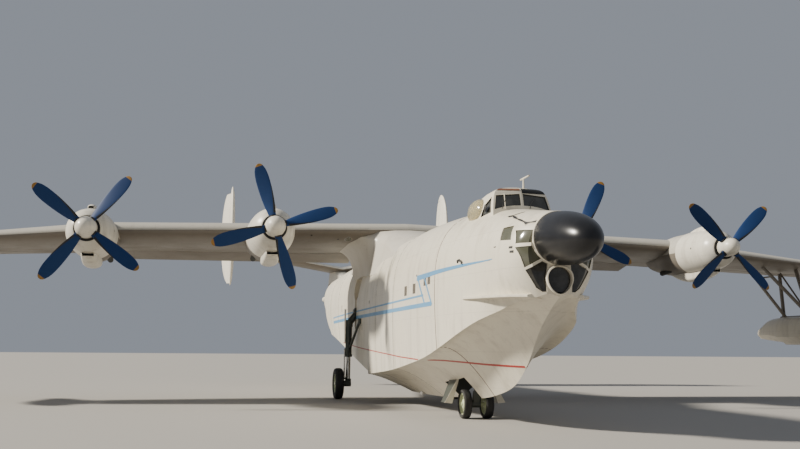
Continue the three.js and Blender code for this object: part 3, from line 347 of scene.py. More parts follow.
def make_object(name, form, material, angle=SHARP_ANGLE):
    verts, faces = form
    mesh = bpy.data.meshes.new(name)
    mesh.from_pydata([tuple(v) for v in verts], [], faces)
    mesh.materials.append(material)
    obj = bpy.data.objects.new(name, mesh)
    bpy.context.scene.collection.objects.link(obj)
    settle(obj, angle)
    return obj


def cutter(form, material):
    """An object that carve cuts with; its material shows on the faces it leaves."""
    return make_object("cutter", form, material)


def settle(obj, angle):
    """Turns the faces outwards, and shades them smooth with sharp edges kept."""
    work = bmesh.new()
    work.from_mesh(obj.data)
    bmesh.ops.recalc_face_normals(work, faces=work.faces)
    work.to_mesh(obj.data)
    work.free()
    obj.data.polygons.foreach_set("use_smooth", [True] * len(obj.data.polygons))
    obj.data.set_sharp_from_angle(angle=math.radians(angle))


def carve(obj, tools, angle=SHARP_ANGLE):
    """Cuts closed tool objects out of obj, and keeps the tools' materials on the cut faces."""
    for tool in tools:
        cut = obj.modifiers.new("cut", "BOOLEAN")
        cut.object = tool
        cut.solver = "EXACT"
        cut.material_mode = "TRANSFER"
    bpy.context.view_layer.update()
    depsgraph = bpy.context.evaluated_depsgraph_get()
    mesh = bpy.data.meshes.new_from_object(obj.evaluated_get(depsgraph))
    obj.modifiers.clear()
    obj.data = mesh
    for tool in tools:
        bpy.data.objects.remove(tool)
    settle(obj, angle)


def dress(obj, body="airframe", replaces=()):
    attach(obj, body)
    if replaces:
        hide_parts(*replaces)


def add_piece(
    name, form, material, body="airframe", replaces=(), angle=SHARP_ANGLE, top=None
):
    """top is the paint of the faces that look up, where it isn't the same."""
    obj = make_object(name, form, material, angle)
    # Where top is given, the first paint stays on the faces that look down, and its darker colour
    # there is painted shade
    if top:
        obj.data.materials.append(top)
        for face in obj.data.polygons:
            if face.normal.z > 0:
                face.material_index = 1
    dress(obj, body, replaces)


def add_pair(stem, form, material, moving=None, replaces=None, top=None):
    """The same piece on both sides. moving is the stem of the bodies that it rides on, where it
    moves, and replaces the stem of the CAD nodes that it stands for."""
    for side, own in (("left", form), ("right", mirrored(form))):
        body = f"{moving}_{side}" if moving else "airframe"
        nodes = (f"{replaces}_{side}",) if replaces else ()
        add_piece(f"{stem}_{side}", own, material, body, nodes, top=top)


# Materials

COAT_ROUGHNESS = 0.15
NOISE_ROUGHNESS = 0.6
SEAM_SOFTNESS = 0.2


def add_node(tree, kind, inputs=None, **settings):
    made = tree.nodes.new(kind)
    for key, value in settings.items():
        setattr(made, key, value)
    for key, value in (inputs or {}).items():
        made.inputs[key].default_value = value
    return made


def plain(name, color, roughness, metallic=0.0, coat=0.0):
    made = bpy.data.materials.new(name)
    made.use_nodes = True
    shader = made.node_tree.nodes["Principled BSDF"]
    shader.inputs["Base Color"].default_value = (*color, 1)
    shader.inputs["Roughness"].default_value = roughness
    shader.inputs["Metallic"].default_value = metallic
    shader.inputs["Coat Weight"].default_value = coat
    shader.inputs["Coat Roughness"].default_value = COAT_ROUGHNESS
    return made, made.node_tree, shader


def noise_mask(tree, coords, scale, stretch, low, high, detail):
    """A soft mask between 0 and 1 from noise, with the noise stretched along the axes."""
    mapping = add_node(tree, "ShaderNodeMapping", {"Scale": stretch})
    settings = {"Scale": scale, "Detail": detail, "Roughness": NOISE_ROUGHNESS}
    noise = add_node(tree, "ShaderNodeTexNoise", settings)
    limits = add_node(tree, "ShaderNodeMapRange", {"From Min": low, "From Max": high})
    tree.links.new(coords.outputs["Object"], mapping.inputs["Vector"])
    tree.links.new(mapping.outputs["Vector"], noise.inputs["Vector"])
    tree.links.new(noise.outputs["Fac"], limits.inputs["Value"])
    return limits.outputs["Result"]


def mix_color(tree, mask, amount, below, color):
    """Puts a colour over what is below, where the mask is."""
    share = add_node(tree, "ShaderNodeMath", {1: amount}, operation="MULTIPLY")
    mix = add_node(tree, "ShaderNodeMix", data_type="RGBA")
    tree.links.new(mask, share.inputs[0])
    tree.links.new(share.outputs[0], mix.inputs["Factor"])
    if isinstance(below, tuple):
        mix.inputs["A"].default_value = (*below, 1)
    else:
        tree.links.new(below, mix.inputs["A"])
    mix.inputs["B"].default_value = (*color, 1)
    return mix.outputs["Result"]


def seams_mask(tree, coords, plane, size, width):
    """Thin lines between plates: plane names the two axes that the plates lie along."""
    split = add_node(tree, "ShaderNodeSeparateXYZ")
    joined = add_node(tree, "ShaderNodeCombineXYZ")
    bricks = add_node(tree, "ShaderNodeTexBrick", {
        "Color1": (0, 0, 0, 1),
        "Color2": (0, 0, 0, 1),
        "Mortar": (1, 1, 1, 1),
        "Scale": 1.0,
        "Mortar Size": width,
        "Mortar Smooth": SEAM_SOFTNESS,
        "Brick Width": size[0],
        "Row Height": size[1],
    })
    tree.links.new(coords.outputs["Object"], split.inputs[0])
    tree.links.new(split.outputs[plane[0]], joined.inputs[0])
    tree.links.new(split.outputs[plane[1]], joined.inputs[1])
    tree.links.new(joined.outputs[0], bricks.inputs["Vector"])
    return bricks.outputs["Color"]


# Masks over old paint. Columns: scale, stretch along the axes, low, high, detail
BLOTCHES = (0.45, (1, 1, 1), 0.45, 0.75, 5)
RUNS = (2.2, (1.6, 1.6, 0.22), 0.5, 0.78, 5)
SPECKS = (14.0, (1, 1, 1), 0.6, 0.72, 8)
DENTS = (1.3, (1, 1, 1), 0.2, 0.8, 2)
FILM = (3.0, (1, 1, 1), 0.4, 0.8, 5)
# How much of its colour each mask gives, and how dark specks and seams are against the grime
BLOTCH_SHARE, RUN_SHARE, SPECK_SHARE, SEAM_SHARE = 0.30, 0.55, 0.35, 0.28
SPECK_TONE, SEAM_TONE = 0.55, 0.4
CLEAN_GLOSS, DIRTY_GLOSS = -0.06, 0.18
DENT_STRENGTH, DENT_DEPTH = 0.25, 0.02
# Glass: its film's share and tone, its coat, and how it bends light
FILM_SHARE, FILM_TONE = 0.5, 0.35
GLASS_COAT = 0.3
GLASS_IOR = 1.49


def toned(color, tone):
    return tuple(c * tone for c in color)


def weathered(name, color, roughness, grime, amounts, plates=None, metallic=0.0):
    """Old paint: blotches, runs of grime down the sides, plate seams and a slightly uneven skin.

    amounts are how strong the blotches and the runs are, and plates is what seams_mask takes."""
    made, tree, shader = plain(name, color, roughness, metallic)
    coords = add_node(tree, "ShaderNodeTexCoord")
    blotches = noise_mask(tree, coords, *BLOTCHES)
    runs = noise_mask(tree, coords, *RUNS)
    specks = noise_mask(tree, coords, *SPECKS)
    result = mix_color(tree, blotches, BLOTCH_SHARE * amounts[0], color, grime)
    result = mix_color(tree, runs, RUN_SHARE * amounts[1], result, grime)
    result = mix_color(tree, specks, SPECK_SHARE * amounts[0], result, toned(grime, SPECK_TONE))
    height = noise_mask(tree, coords, *DENTS)
    if plates:
        lines = seams_mask(tree, coords, *plates)
        result = mix_color(tree, lines, SEAM_SHARE, result, toned(grime, SEAM_TONE))
        both = add_node(tree, "ShaderNodeMath", operation="SUBTRACT")
        tree.links.new(height, both.inputs[0])
        tree.links.new(lines, both.inputs[1])
        height = both.outputs[0]
    bump = add_node(tree, "ShaderNodeBump", {"Strength": DENT_STRENGTH, "Distance": DENT_DEPTH})
    tree.links.new(height, bump.inputs["Height"])
    tree.links.new(bump.outputs["Normal"], shader.inputs["Normal"])
    tree.links.new(result, shader.inputs["Base Color"])
    limits = {"To Min": roughness + CLEAN_GLOSS, "To Max": roughness + DIRTY_GLOSS}
    gloss = add_node(tree, "ShaderNodeMapRange", limits)
    tree.links.new(blotches, gloss.inputs["Value"])
    tree.links.new(gloss.outputs["Result"], shader.inputs["Roughness"])
    return made


def glass(name, color, roughness, transmission=0.0):
    """Glass under a dusty film."""
    made, tree, shader = plain(name, color, roughness, coat=GLASS_COAT)
    shader.inputs["Transmission Weight"].default_value = transmission
    shader.inputs["IOR"].default_value = GLASS_IOR
    coords = add_node(tree, "ShaderNodeTexCoord")
    film = noise_mask(tree, coords, *FILM)
    dust = tuple(lerp(c, FILM_TONE, FILM_TONE) for c in color)
    dusty = mix_color(tree, film, FILM_SHARE, color, dust)
    tree.links.new(dusty, shader.inputs["Base Color"])
    return made


# Paints, as name, colour, roughness, grime, strength of blotches and of runs, and plates where
# the skin shows them
GRIME = (0.28, 0.235, 0.17)
HULL = weathered(
    "hull_paint", (0.77, 0.715, 0.585), 0.36, GRIME, (0.6, 0.7), ((1, 2), (3.6, 0.85), 0.003)
)
TAIL = weathered(
    "tail_paint", (0.78, 0.74, 0.64), 0.42, GRIME, (0.4, 0.5), ((0, 2), (1.6, 0.8), 0.004)
)
COWL = weathered(
    "cowl_paint", (0.74, 0.70, 0.60), 0.36, GRIME, (0.8, 0.8), ((1, 2), (1.1, 0.5), 0.003)
)
WING_PLATES = ((0, 1), (1.7, 0.7), 0.004)
# The wing's dark grey-brown stands for the shade under the wing, tailplane, nacelles and struts:
# painted shade. The faces that look up take the lighter top paint
WING_SHADED = weathered(
    "wing_painted_shade", (0.175, 0.152, 0.122), 0.5, (0.10, 0.08, 0.06), (0.9, 0.4), WING_PLATES
)
WING_TOP = weathered("wing_top_paint", (0.52, 0.49, 0.42), 0.42, GRIME, (0.8, 0.3), WING_PLATES)
SADDLE_PAINT = weathered("saddle_paint", (0.60, 0.56, 0.48), 0.42, GRIME, (0.7, 0.5))
TORN = weathered("torn_skin_edge", (0.60, 0.55, 0.45), 0.5, GRIME, (0.9, 0.2))
BLUE_STRIPE = weathered(
    "blue_stripe_paint", (0.13, 0.33, 0.56), 0.4, (0.25, 0.30, 0.33), (0.7, 0.6)
)
RED = weathered("red_paint", (0.42, 0.035, 0.03), 0.45, (0.22, 0.05, 0.04), (0.6, 0.5))
BLADE_BLUE = weathered(
    "blade_paint", (0.009, 0.036, 0.125), 0.62, (0.02, 0.045, 0.11), (0.5, 0.2)
)
TIP_ORANGE = weathered("blade_tip_paint", (0.30, 0.15, 0.02), 0.5, (0.16, 0.10, 0.04), (0.6, 0.2))
RADOME = weathered("radome_paint", (0.008, 0.008, 0.009), 0.34, (0.10, 0.10, 0.105), (0.5, 0.1))
BLACK = weathered("black_paint", (0.012, 0.012, 0.012), 0.55, (0.05, 0.045, 0.04), (0.6, 0.2))
BROWN = weathered("roof_edge_paint", (0.20, 0.085, 0.045), 0.55, (0.1, 0.06, 0.04), (0.8, 0.4))
RUST_SEAM = weathered("bow_seam_paint", (0.10, 0.035, 0.02), 0.6, (0.06, 0.04, 0.03), (0.8, 0.4))
CABIN = weathered("cabin_paint", (0.12, 0.17, 0.155), 0.6, (0.05, 0.06, 0.05), (0.5, 0.1))
# Near-black for the insides of rooms, wells, slots and the canopy, and for the exhausts: painted shade
DARK_SHADE = weathered("dark_painted_shade", (0.03, 0.032, 0.03), 0.8, (0.06, 0.05, 0.04), (0.6, 0.2))
SIDE_PANE = weathered("side_pane", (0.135, 0.11, 0.075), 0.25, (0.09, 0.08, 0.06), (0.6, 0.2))
RIM = weathered("wheel_rim_paint", (0.55, 0.60, 0.36), 0.5, (0.2, 0.19, 0.12), (0.8, 0.3))
TYRE = weathered("tyre_rubber", (0.018, 0.018, 0.018), 0.75, (0.11, 0.095, 0.075), (0.9, 0.2))
GEAR = weathered(
    "gear_paint", (0.055, 0.065, 0.055), 0.45, (0.10, 0.085, 0.06), (0.8, 0.5), metallic=0.2
)
STEEL = weathered(
    "bare_steel", (0.55, 0.55, 0.54), 0.22, (0.2, 0.19, 0.17), (0.5, 0.3), metallic=0.9
)
# The blades' paint is duller than the rest
BLADE_SHINE = 0.2
BLADE_BLUE.node_tree.nodes["Principled BSDF"].inputs["Specular IOR Level"].default_value = BLADE_SHINE

# The nose's cheek panes take the darkest glass as painted shade, and its upper panes the paler side
# glass as painted light
SHADED_GLASS = glass("dark_glass_painted_shade", (0.022, 0.020, 0.013), 0.07)
SIDE_GLASS = glass("side_glass", (0.085, 0.085, 0.055), 0.09)
CANOPY_GLASS = glass("canopy_glass", (0.05, 0.05, 0.043), 0.08)
BLISTER_GLASS = glass("yellowed_glass", (0.78, 0.70, 0.45), 0.12, transmission=0.65)


# Hull lines. Columns: y, keel z, chine x, chine z, rise of the bottom inboard of the chine,
# widest x, its z, deck z, squareness of the shoulder.
FOREBODY = [
    (NOSE_FACE_Y, 2.80, 0.26, 2.86, 0.01, 0.60, 3.70, 4.525, 2.0),
    (-17.56, 2.73, 0.42, 2.80, 0.02, 0.77, 3.68, 4.56, 2.1),
    (-17.30, 2.62, 0.56, 2.76, 0.03, 0.90, 3.65, 4.60, 2.2),
    (-16.87, 2.38, 0.70, 2.69, 0.07, 1.01, 3.62, 4.665, 2.2),
    (-16.37, 2.02, 0.85, 2.555, 0.15, 1.06, 3.70, 4.74, 2.2),
    (-15.78, 1.46, 1.12, 2.38, 0.23, 1.18, 3.60, 4.84, 2.3),
    (-14.91, 0.97, 1.30, 2.14, 0.29, 1.34, 3.50, 4.95, 2.3),
    (-13.67, 0.70, 1.42, 1.83, 0.31, 1.48, 3.30, 5.06, 2.4),
    (-12.22, 0.54, 1.46, 1.57, 0.16, 1.51, 3.20, 5.14, 2.5),
    (-10.46, 0.48, 1.48, 1.37, 0.08, 1.53, 3.10, 5.19, 2.6),
    (-7.80, 0.39, 1.49, 1.14, 0.02, 1.54, 3.00, DECK_Z, 2.6),
    (STEP_Y, 0.37, 1.50, 0.94, -0.06, 1.54, 3.00, DECK_Z, 2.6),
]
AFTERBODY = [
    (STEP_Y + 0.005, 0.53, 1.50, 1.04, -0.06, 1.54, 3.00, DECK_Z, 2.6),
    (-1.20, 0.82, 1.48, 1.44, -0.04, 1.54, 3.10, DECK_Z, 2.6),
    (2.20, 1.23, 1.40, 1.88, -0.03, 1.50, 3.30, DECK_Z, 2.5),
    (5.40, 1.64, 1.28, 2.23, -0.02, 1.41, 3.50, DECK_Z, 2.4),
    (8.00, 2.00, 1.08, 2.40, 0.0, 1.27, 3.65, DECK_Z, 2.3),
    (9.50, 2.26, 0.90, 2.52, 0.0, 1.19, 3.75, DECK_Z, 2.2),
]
TAIL_CONE = [
    (9.505, 2.64, 0.76, 2.80, 0.0, 1.189, 3.75, DECK_Z, 2.2),
    (12.0, 3.06, 0.56, 3.28, 0.0, 0.94, 4.10, DECK_Z, 2.1),
    (14.0, 3.40, 0.38, 3.60, 0.0, 0.66, 4.30, 5.16, 2.0),
    (16.0, 3.86, 0.20, 4.00, 0.0, 0.37, 4.45, 5.02, 2.0),
    (17.2, 4.20, 0.11, 4.28, 0.0, 0.21, 4.50, 4.82, 2.0),
]
BOTTOM_STEPS, SIDE_STEPS, SHOULDER_STEPS = 10, 8, 16
HULL_RING_STEP = 0.3
# How far out the bottom's bend lies, as a share of the way to the chine
BOTTOM_BEND = 0.68
# The way out of the bottom's skin, along x and z
BOTTOM_OUT = (0.75, -0.65)


def hull_row(y):
    for rows in (FOREBODY, AFTERBODY):
        if y <= rows[-1][0]:
            return along(rows, y)
    return along(TAIL_CONE, y)


def bottom_point(row, t):
    _, keel_z, chine_x, chine_z, rise = row[:5]
    x = 2 * t * (1 - t) * BOTTOM_BEND * chine_x + t * t * chine_x
    return x, bend(keel_z, chine_z + rise, chine_z, t)


def side_point(row, t):
    _, _, chine_x, chine_z, _, side_x, side_z = row[:7]
    return lerp(chine_x, side_x, 1 - (1 - t) ** 2), lerp(chine_z, side_z, t)


def shoulder_point(row, t):
    side_x, side_z, deck_z, square = row[5:9]
    angle = t * math.pi / 2
    x = 0.0 if t >= 1 else side_x * math.cos(angle) ** (2 / square)
    return x, side_z + (deck_z - side_z) * math.sin(angle) ** (2 / square)


def half_section(row, inset=0.0):
    points = [bottom_point(row, t) for t in spread(0, 1, BOTTOM_STEPS)]
    points += [side_point(row, t) for t in spread(0, 1, SIDE_STEPS)[1:]]
    points += [shoulder_point(row, t) for t in spread(0, 1, SHOULDER_STEPS)[1:]]
    middle = (row[1] + row[7]) / 2
    moved = []
    for x, z in points:
        reach = math.hypot(x, z - middle)
        moved.append((x - x / reach * inset, z - (z - middle) / reach * inset))
    return moved


def hull_ring(y, inset=0.0, row=None):
    half = half_section(row or hull_row(y), inset)
    return [Vector((x, y, z)) for x, z in both_halves(half)]


def hull_side(y, z, lift=0.0):
    """The point on the hull's port side at a height, above the chine."""
    row = hull_row(y)
    chine_z, side_z, deck_z, square = row[3], row[6], row[7], row[8]
    if z <= side_z:
        x = side_point(row, max(0.0, (z - chine_z) / (side_z - chine_z)))[0]
        return Vector((x + lift, y, z))
    share = min(1.0, (z - side_z) / (deck_z - side_z)) ** (square / 2)
    angle = math.asin(share)
    x = row[5] * math.cos(angle) ** (2 / square)
    return Vector((x + lift * math.cos(angle), y, z + lift * math.sin(angle)))


def hull_bottom(y, z, lift=0.0):
    """The point on the port half of the planing bottom at a height, below the chine."""
    row = hull_row(y)
    keel_z, chine_z, rise = row[1], row[3], row[4]
    a = keel_z - 2 * (chine_z + rise) + chine_z
    b = 2 * (chine_z + rise - keel_z)
    root = math.sqrt(max(b * b - 4 * a * (keel_z - z), 0.0))
    t = (-b + root) / (2 * a) if abs(a) > 1e-6 else (z - keel_z) / b
    x = bottom_point(row, min(max(t, 0.0), 1.0))[0]
    return Vector((x + lift * BOTTOM_OUT[0], y, z + lift * BOTTOM_OUT[1]))


# Rooms inside the hull: the stations of their rings, wall and floor
NOSE_ROOM_YS = [
    NOSE_FACE_Y + 0.05, -17.56, -17.45, -17.3, -17.2, -17.05, -16.87, -16.7, -16.48, -16.35,
]
NOSE_WALL = 0.02
NOSE_FLOOR = 2.9
COCKPIT_YS = [-15.48, -15.2, -15.0, -14.75, -14.5, -14.25, -14.0, -13.65]
COCKPIT_WALL = 0.06
COCKPIT_FLOOR = 3.75
COCKPIT_HATCH_Z = 4.35
# An x range wider than the hull
ACROSS = (-2, 2)

# Wells as x, y and z ranges, and the turret's as (z, radius)
NOSE_WELL = [(-0.47, 0.47), (-12.22, -10.30), (0, 1.75)]
TURRET_WELL = [(4.94, 0.58), (5.6, 0.58)]
# A main gear bay is a slot for the leg with a round top
BAY_X = (1.21, 2.0)
BAY_Y = (MAIN_WHEEL_Y - 0.17, MAIN_WHEEL_Y + 0.17)
BAY_Z = (2.45, 4.05)
BAY_TOP_RADIUS = 0.60
KEEL_PAD = [(-0.15, 0.15), (-6.2, -5.9), (0.34, 0.45)]


def hull_hollow(ys, wall, floor_z):
    tool = cutter(loft([hull_ring(y, wall) for y in ys]), DARK_SHADE)
    below = cutter(block(ACROSS, (ys[0] - 0.1, ys[-1] + 0.1), (0, floor_z)), DARK_SHADE)
    carve(tool, [below])
    return tool


# Nose windows. The rear ones are (y, z) outlines and the others are (x, z) outlines.
REAR_PANE = [(-17.275, 3.97), (-16.85, 4.0), (-16.74, 4.28), (-17.15, 4.285)]
FACE_PANES = [
    [(0.82, 3.88), (0.555, 3.88), (0.53, 4.14), (0.775, 4.165)],
    [(0.83, 3.805), (0.555, 3.815), (0.50, 3.71), (0.44, 3.63), (0.37, 3.565), (0.69, 3.385)],
    [(0.675, 3.335), (0.35, 3.515), (0.24, 3.47), (0.275, 3.12), (0.26, 2.90), (0.345, 2.90),
     (0.46, 2.98)],
]
# Where the cuts for them start and end: x of the rear ones, y of the others and of the bow window
REAR_PANE_X = (0.3, 1.5)
NOSE_AHEAD = -18.2
FACE_PANES_END = -17.3
BOW_CUT_END = -17.5
# The line between the cheek panes, painted dark as painted shade, and the paler panes above them,
# painted lighter as painted light
CHEEK_TOP = [(-1.5, 2.9), (-0.9, 3.33), (-0.36, 3.52), (0.36, 3.52), (0.9, 3.33), (1.5, 2.9)]
# The bow window: half width, low z and high z of its opening, and of its rim
BOW_OPENING = (0.25, 2.862, 3.405)
BOW_RIM = (0.288, 2.832, 3.442)


def drop_outline(size, sides=40):
    """An outline as (x, z), wide above and drawn in below."""
    half, low, high = size
    flare = 0.16
    return [(half * s * (1 + flare * c), lerp(low, high, (1 + c) / 2)) for c, s in circle(sides)]


def nose_window_tools():
    tools = []
    for side in (1, -1):
        xs = [side * x for x in REAR_PANE_X]
        tools.append(cutter(prism("x", REAR_PANE, *xs), HULL))
        for outline in FACE_PANES:
            shape = [(side * x, z) for x, z in outline]
            tools.append(cutter(prism("y", shape, NOSE_AHEAD, FACE_PANES_END), HULL))
    tools.append(cutter(prism("y", drop_outline(BOW_OPENING), NOSE_AHEAD, BOW_CUT_END), HULL))
    return tools


def main_bay_tools():
    tools = []
    for side in (1, -1):
        xs = [side * x for x in BAY_X]
        tools.append(cutter(block(xs, BAY_Y, BAY_Z), HULL))
        rows = [(x, BAY_TOP_RADIUS) for x in xs]
        tools.append(cutter(lathe(rows, (0, MAIN_WHEEL_Y, BAY_Z[1]), "x"), HULL))
    return tools


def build_hull():
    rings = []
    for rows in (FOREBODY, AFTERBODY, TAIL_CONE):
        rings += [hull_ring(y, row=along(rows, y)) for y in stations(rows, HULL_RING_STEP)]
    hull = make_object("hull_skin", loft(rings), HULL)
    # The rooms, the cockpit hatch and the wells are lined with the near-black painted shade
    tools = [
        hull_hollow(NOSE_ROOM_YS, NOSE_WALL, NOSE_FLOOR),
        hull_hollow(COCKPIT_YS, COCKPIT_WALL, COCKPIT_FLOOR),
        cutter(canopy_form(COCKPIT_WALL, low=COCKPIT_HATCH_Z), DARK_SHADE),
        cutter(block(*NOSE_WELL), DARK_SHADE),
        cutter(lathe(TURRET_WELL, (0, TURRET_Y, 0), "z"), DARK_SHADE),
    ]
    carve(hull, tools + main_bay_tools() + nose_window_tools(), HULL_SHARP)
    dress(hull, replaces=("hull_nose", "hull_forebody", "hull", "hull_tail"))
    add_piece("keel_pad", block(*KEEL_PAD), STEEL)


# Spray strakes. Columns: y, inner x, outer x, z
STRAKE = [
    (-17.50, 0.30, 0.60, 2.850),
    (-17.10, 0.50, 0.88, 2.865),
    (-16.50, 0.70, 1.10, 2.875),
    (-15.90, 0.90, 1.23, 2.885),
    (-15.20, 1.10, 1.32, 2.900),
    (-15.05, 1.15, 1.29, 2.905),
]
# A strake's section: 0 at its inner edge or 1 at its outer one, how far out and how far up
STRAKE_SECTION = [(0, 0.0, -0.08), (1, 0.0, -0.045), (1, 0.004, -0.02), (1, 0.0, 0.0), (0, 0.0, 0.06)]


def strake_ring(y, inner, outer, z):
    return [((inner, outer)[edge] + out, y, z + up) for edge, out, up in STRAKE_SECTION]


def build_strakes():
    add_pair("spray_strake", lofted(STRAKE, 0.12, strake_ring), HULL)


# How far marks stand over the skin, and how deep they reach into it
MARK_LIFT = 0.004
MARK_DEPTH = 0.01


def skin_strip(rows, lift=MARK_LIFT, place=hull_side, depth=MARK_DEPTH):
    """A thin solid on the hull's skin through rows of (y, z) points."""
    tops = [[place(y, z, lift) for y, z in row] for row in rows]
    lows = [[place(y, z, -depth) for y, z in row] for row in rows]
    return slab(tops, lows)


def interpolate(rows, at):
    """The values of a table at a first column value, on straight lines between its rows."""
    for a, b in zip(rows, rows[1:]):
        if at <= b[0]:
            t = max(0.0, (at - a[0]) / (b[0] - a[0]))
            return [lerp(u, v, t) for u, v in zip(a, b)]
    return list(rows[-1])


def side_band(path, across=3):
    """A painted band on the hull's side, through (y, low z, high z) stations."""
    rows = []
    for y in stations(path, 0.3):
        _, low_z, high_z = interpolate(path, y)
        rows.append([(y, z) for z in spread(low_z, high_z, across)])
    return skin_strip(rows)


# Blue bands on the side as (y, low z, high z)
BAND_FORWARD = [
    (-16.55, 3.63, 3.645), (-15.9, 3.605, 3.645), (-15.0, 3.575, 3.645), (-13.7, 3.54, 3.64),
    (-11.42, 3.50, 3.64),
]
BAND_THIN = [(-12.15, 3.075, 3.125), (5.2, 3.015, 3.065)]
BAND_THICK = [(-13.0, 2.80, 2.91), (5.2, 2.80, 2.91)]
# The slanted bar that joins them: its left and right edges as (y, z), from the top down
SLANT_LEFT = [(-11.42, 3.64), (-12.25, 2.86)]
SLANT_RIGHT = [(-12.25, 3.60), (-13.08, 2.83)]
SLANT_EDGE = 0.11

# The waterline on the bottom and round the chine, as (y, z, half width)
WATERLINE = [(-15.62, 1.38, 0.022), (-14.0, 1.41, 0.022), (-12.2, 1.475, 0.018), (-11.5, 1.48, 0.015)]
WATERLINE_SIDE = [
    (-11.42, 1.47, 1.50), (-9.2, 1.525, 1.555), (-2.7, 1.765, 1.795), (-0.83, 1.85, 1.88),
    (2.0, 1.98, 2.01),
]


def slanted_bar():
    forms = []
    for (top, foot), way in ((SLANT_LEFT, -1), (SLANT_RIGHT, 1)):
        rows = []
        for t in spread(0, 1, 8):
            y, z = lerp(top[0], foot[0], t), lerp(top[1], foot[1], t)
            rows.append([(y, z), (y + way * SLANT_EDGE, z)])
        forms.append(skin_strip(rows, 0.005))
    return forms


def waterline_band():
    rows = []
    for y in stations(WATERLINE, 0.2):
        _, z, half = interpolate(WATERLINE, y)
        rows.append([(y, z - half), (y, min(z + half, hull_row(y)[3] - 0.002))])
    return skin_strip(rows, place=hull_bottom)


def seam_ring(y, width=0.014):
    """A dark seam round half the hull."""
    lift, deep = 0.003, MARK_DEPTH
    tops, lows = [], []
    for part, count in ((bottom_point, 12), (side_point, 8), (shoulder_point, 12)):
        for t in spread(0, 1, count)[0 if part is bottom_point else 1:]:
            edges = []
            for edge in (y - width / 2, y + width / 2):
                row = hull_row(edge)
                x, z = part(row, t)
                out = Vector((x, z - (row[1] + row[7]) / 2)).normalized()
                edges.append((x, edge, z, out))
            tops.append([(x + out.x * lift, at, z + out.y * lift) for x, at, z, out in edges])
            lows.append([(x - out.x * deep, at, z - out.y * deep) for x, at, z, out in edges])
    return slab(tops, lows)


BOW_SEAM_Y = -13.3
SEAM_YS = [-8.35, -5.6, 0.6, 3.2, 6.4]
# Small openings as (y, z, half length, half height), drawn as black plates: painted shade for their
# insides
DARK_SLOTS = [
    (-17.31, 3.815, 0.05, 0.022), (-17.345, 3.725, 0.05, 0.022), (-16.66, 3.88, 0.05, 0.01),
]
ROUND_HOLES = [(-11.36, 3.65, 0.04, 0.03), (-4.37, 3.28, 0.03, 0.06)]
HOLE_DEPTH = 0.006
# The hook as (y, z, distance from the skin)
HOOK = [
    (-14.86, 3.69, 0.0), (-14.90, 3.735, 0.03), (-15.04, 3.745, 0.04), (-15.13, 3.70, 0.04),
    (-15.15, 3.64, 0.03),
]
HOOK_RADIUS = 0.017
# Small side windows as (y, z, half length, half height)
SIDE_WINDOWS = [
    (-12.725, 3.47, 0.13, 0.13),
    (-12.315, 3.45, 0.13, 0.12),
    (-11.135, 3.325, 0.15, 0.13),
    (-10.105, 3.32, 0.15, 0.13),
    (-2.99, 2.50, 0.03, 0.10),
    (2.05, 3.32, 0.03, 0.12),
]


def side_plate(y, z, half_y, half_z):
    rows = []
    for at in spread(y - half_y, y + half_y, 2):
        rows.append([(at, height) for height in spread(z - half_z, z + half_z, 2)])
    return skin_strip(rows, depth=0.02)


def build_hull_marks():
    bands = [side_band(path) for path in (BAND_FORWARD, BAND_THIN, BAND_THICK)]
    add_pair("blue_band", gather(bands + slanted_bar()), BLUE_STRIPE)
    lines = [waterline_band(), side_band(WATERLINE_SIDE, across=1)]
    add_pair("red_waterline", gather(lines), RED)
    add_pair("bow_seam", seam_ring(BOW_SEAM_Y, 0.03), RUST_SEAM)
    add_pair("frame_seams", gather([seam_ring(y) for y in SEAM_YS]), BLACK)
    panes = gather([side_plate(*row) for row in SIDE_WINDOWS])
    add_pair("side_window_panes", panes, SIDE_PANE)
    build_small_marks()


# The torn seam beside the nose, as (y, z, half width), and its branch
TEAR = [
    (-17.66, 4.315, 0.012), (-17.58, 4.305, 0.006), (-17.50, 4.29, 0.016), (-17.40, 4.335, 0.007),
    (-17.22, 4.39, 0.010), (-17.02, 4.44, 0.005), (-16.80, 4.50, 0.012), (-16.62, 4.55, 0.006),
    (-16.50, 4.565, 0.014), (-16.36, 4.58, 0.004),
]
TEAR_BRANCH = [
    (-16.70, 4.635, 0.004), (-16.64, 4.615, 0.012), (-16.58, 4.585, 0.009), (-16.53, 4.57, 0.003),
]
# Its layers. Columns: name, paint, lift, how much wider than its line the tear and branch are
TEAR_LAYERS = [
    ("torn_skin", TORN, 0.003, 2.8, 2.6),
    ("torn_gap_painted_shade", BLACK, 0.006, 1.6, 1.6),
]


def torn_line(line, lift, widen):
    rows = [[(y, z - half * widen), (y, z + half * widen)] for y, z, half in line]
    return skin_strip(rows, lift)


def build_small_marks():
    """Marks on the starboard side only: the tear, dark slots, a drain, a vent and a hook."""
    # The tear's black gap is painted shade in the crack; its torn edge is the skin's own colour
    for name, paint, lift, tear, branch in TEAR_LAYERS:
        lines = [torn_line(TEAR, lift, tear), torn_line(TEAR_BRANCH, lift, branch)]
        add_piece(name, mirrored(gather(lines)), paint)
    # The slots, the drain and the vent are black plates and ovals on the skin: painted shade for their
    # insides
    dark = [side_plate(*row) for row in DARK_SLOTS]
    for y, z, half_y, half_z in ROUND_HOLES:
        dark.append(ball(hull_side(y, z), (HOLE_DEPTH, half_y, half_z), 20))
    add_piece("openings_painted_shade", mirrored(gather(dark)), BLACK)
    hook = [hull_side(y, z, lift) for y, z, lift in HOOK]
    add_piece("side_hook", mirrored(tube(hook, HOOK_RADIUS, 10)), BLACK)


# The bow window's rim: how far behind the nose's face, and its size there
BOW_RIM_SECTION = [
    (0.01, BOW_OPENING), (-0.055, BOW_OPENING), (-0.07, (0.26, 2.854, 3.413)),
    (-0.062, (0.278, 2.84, 3.432)), (-0.03, BOW_RIM), (0.01, BOW_RIM),
]
# The y range of the nose's windows, and where the dark panes of painted shade end
PANES_Y = (-18.5, -16)
CHEEK_END = -17.32


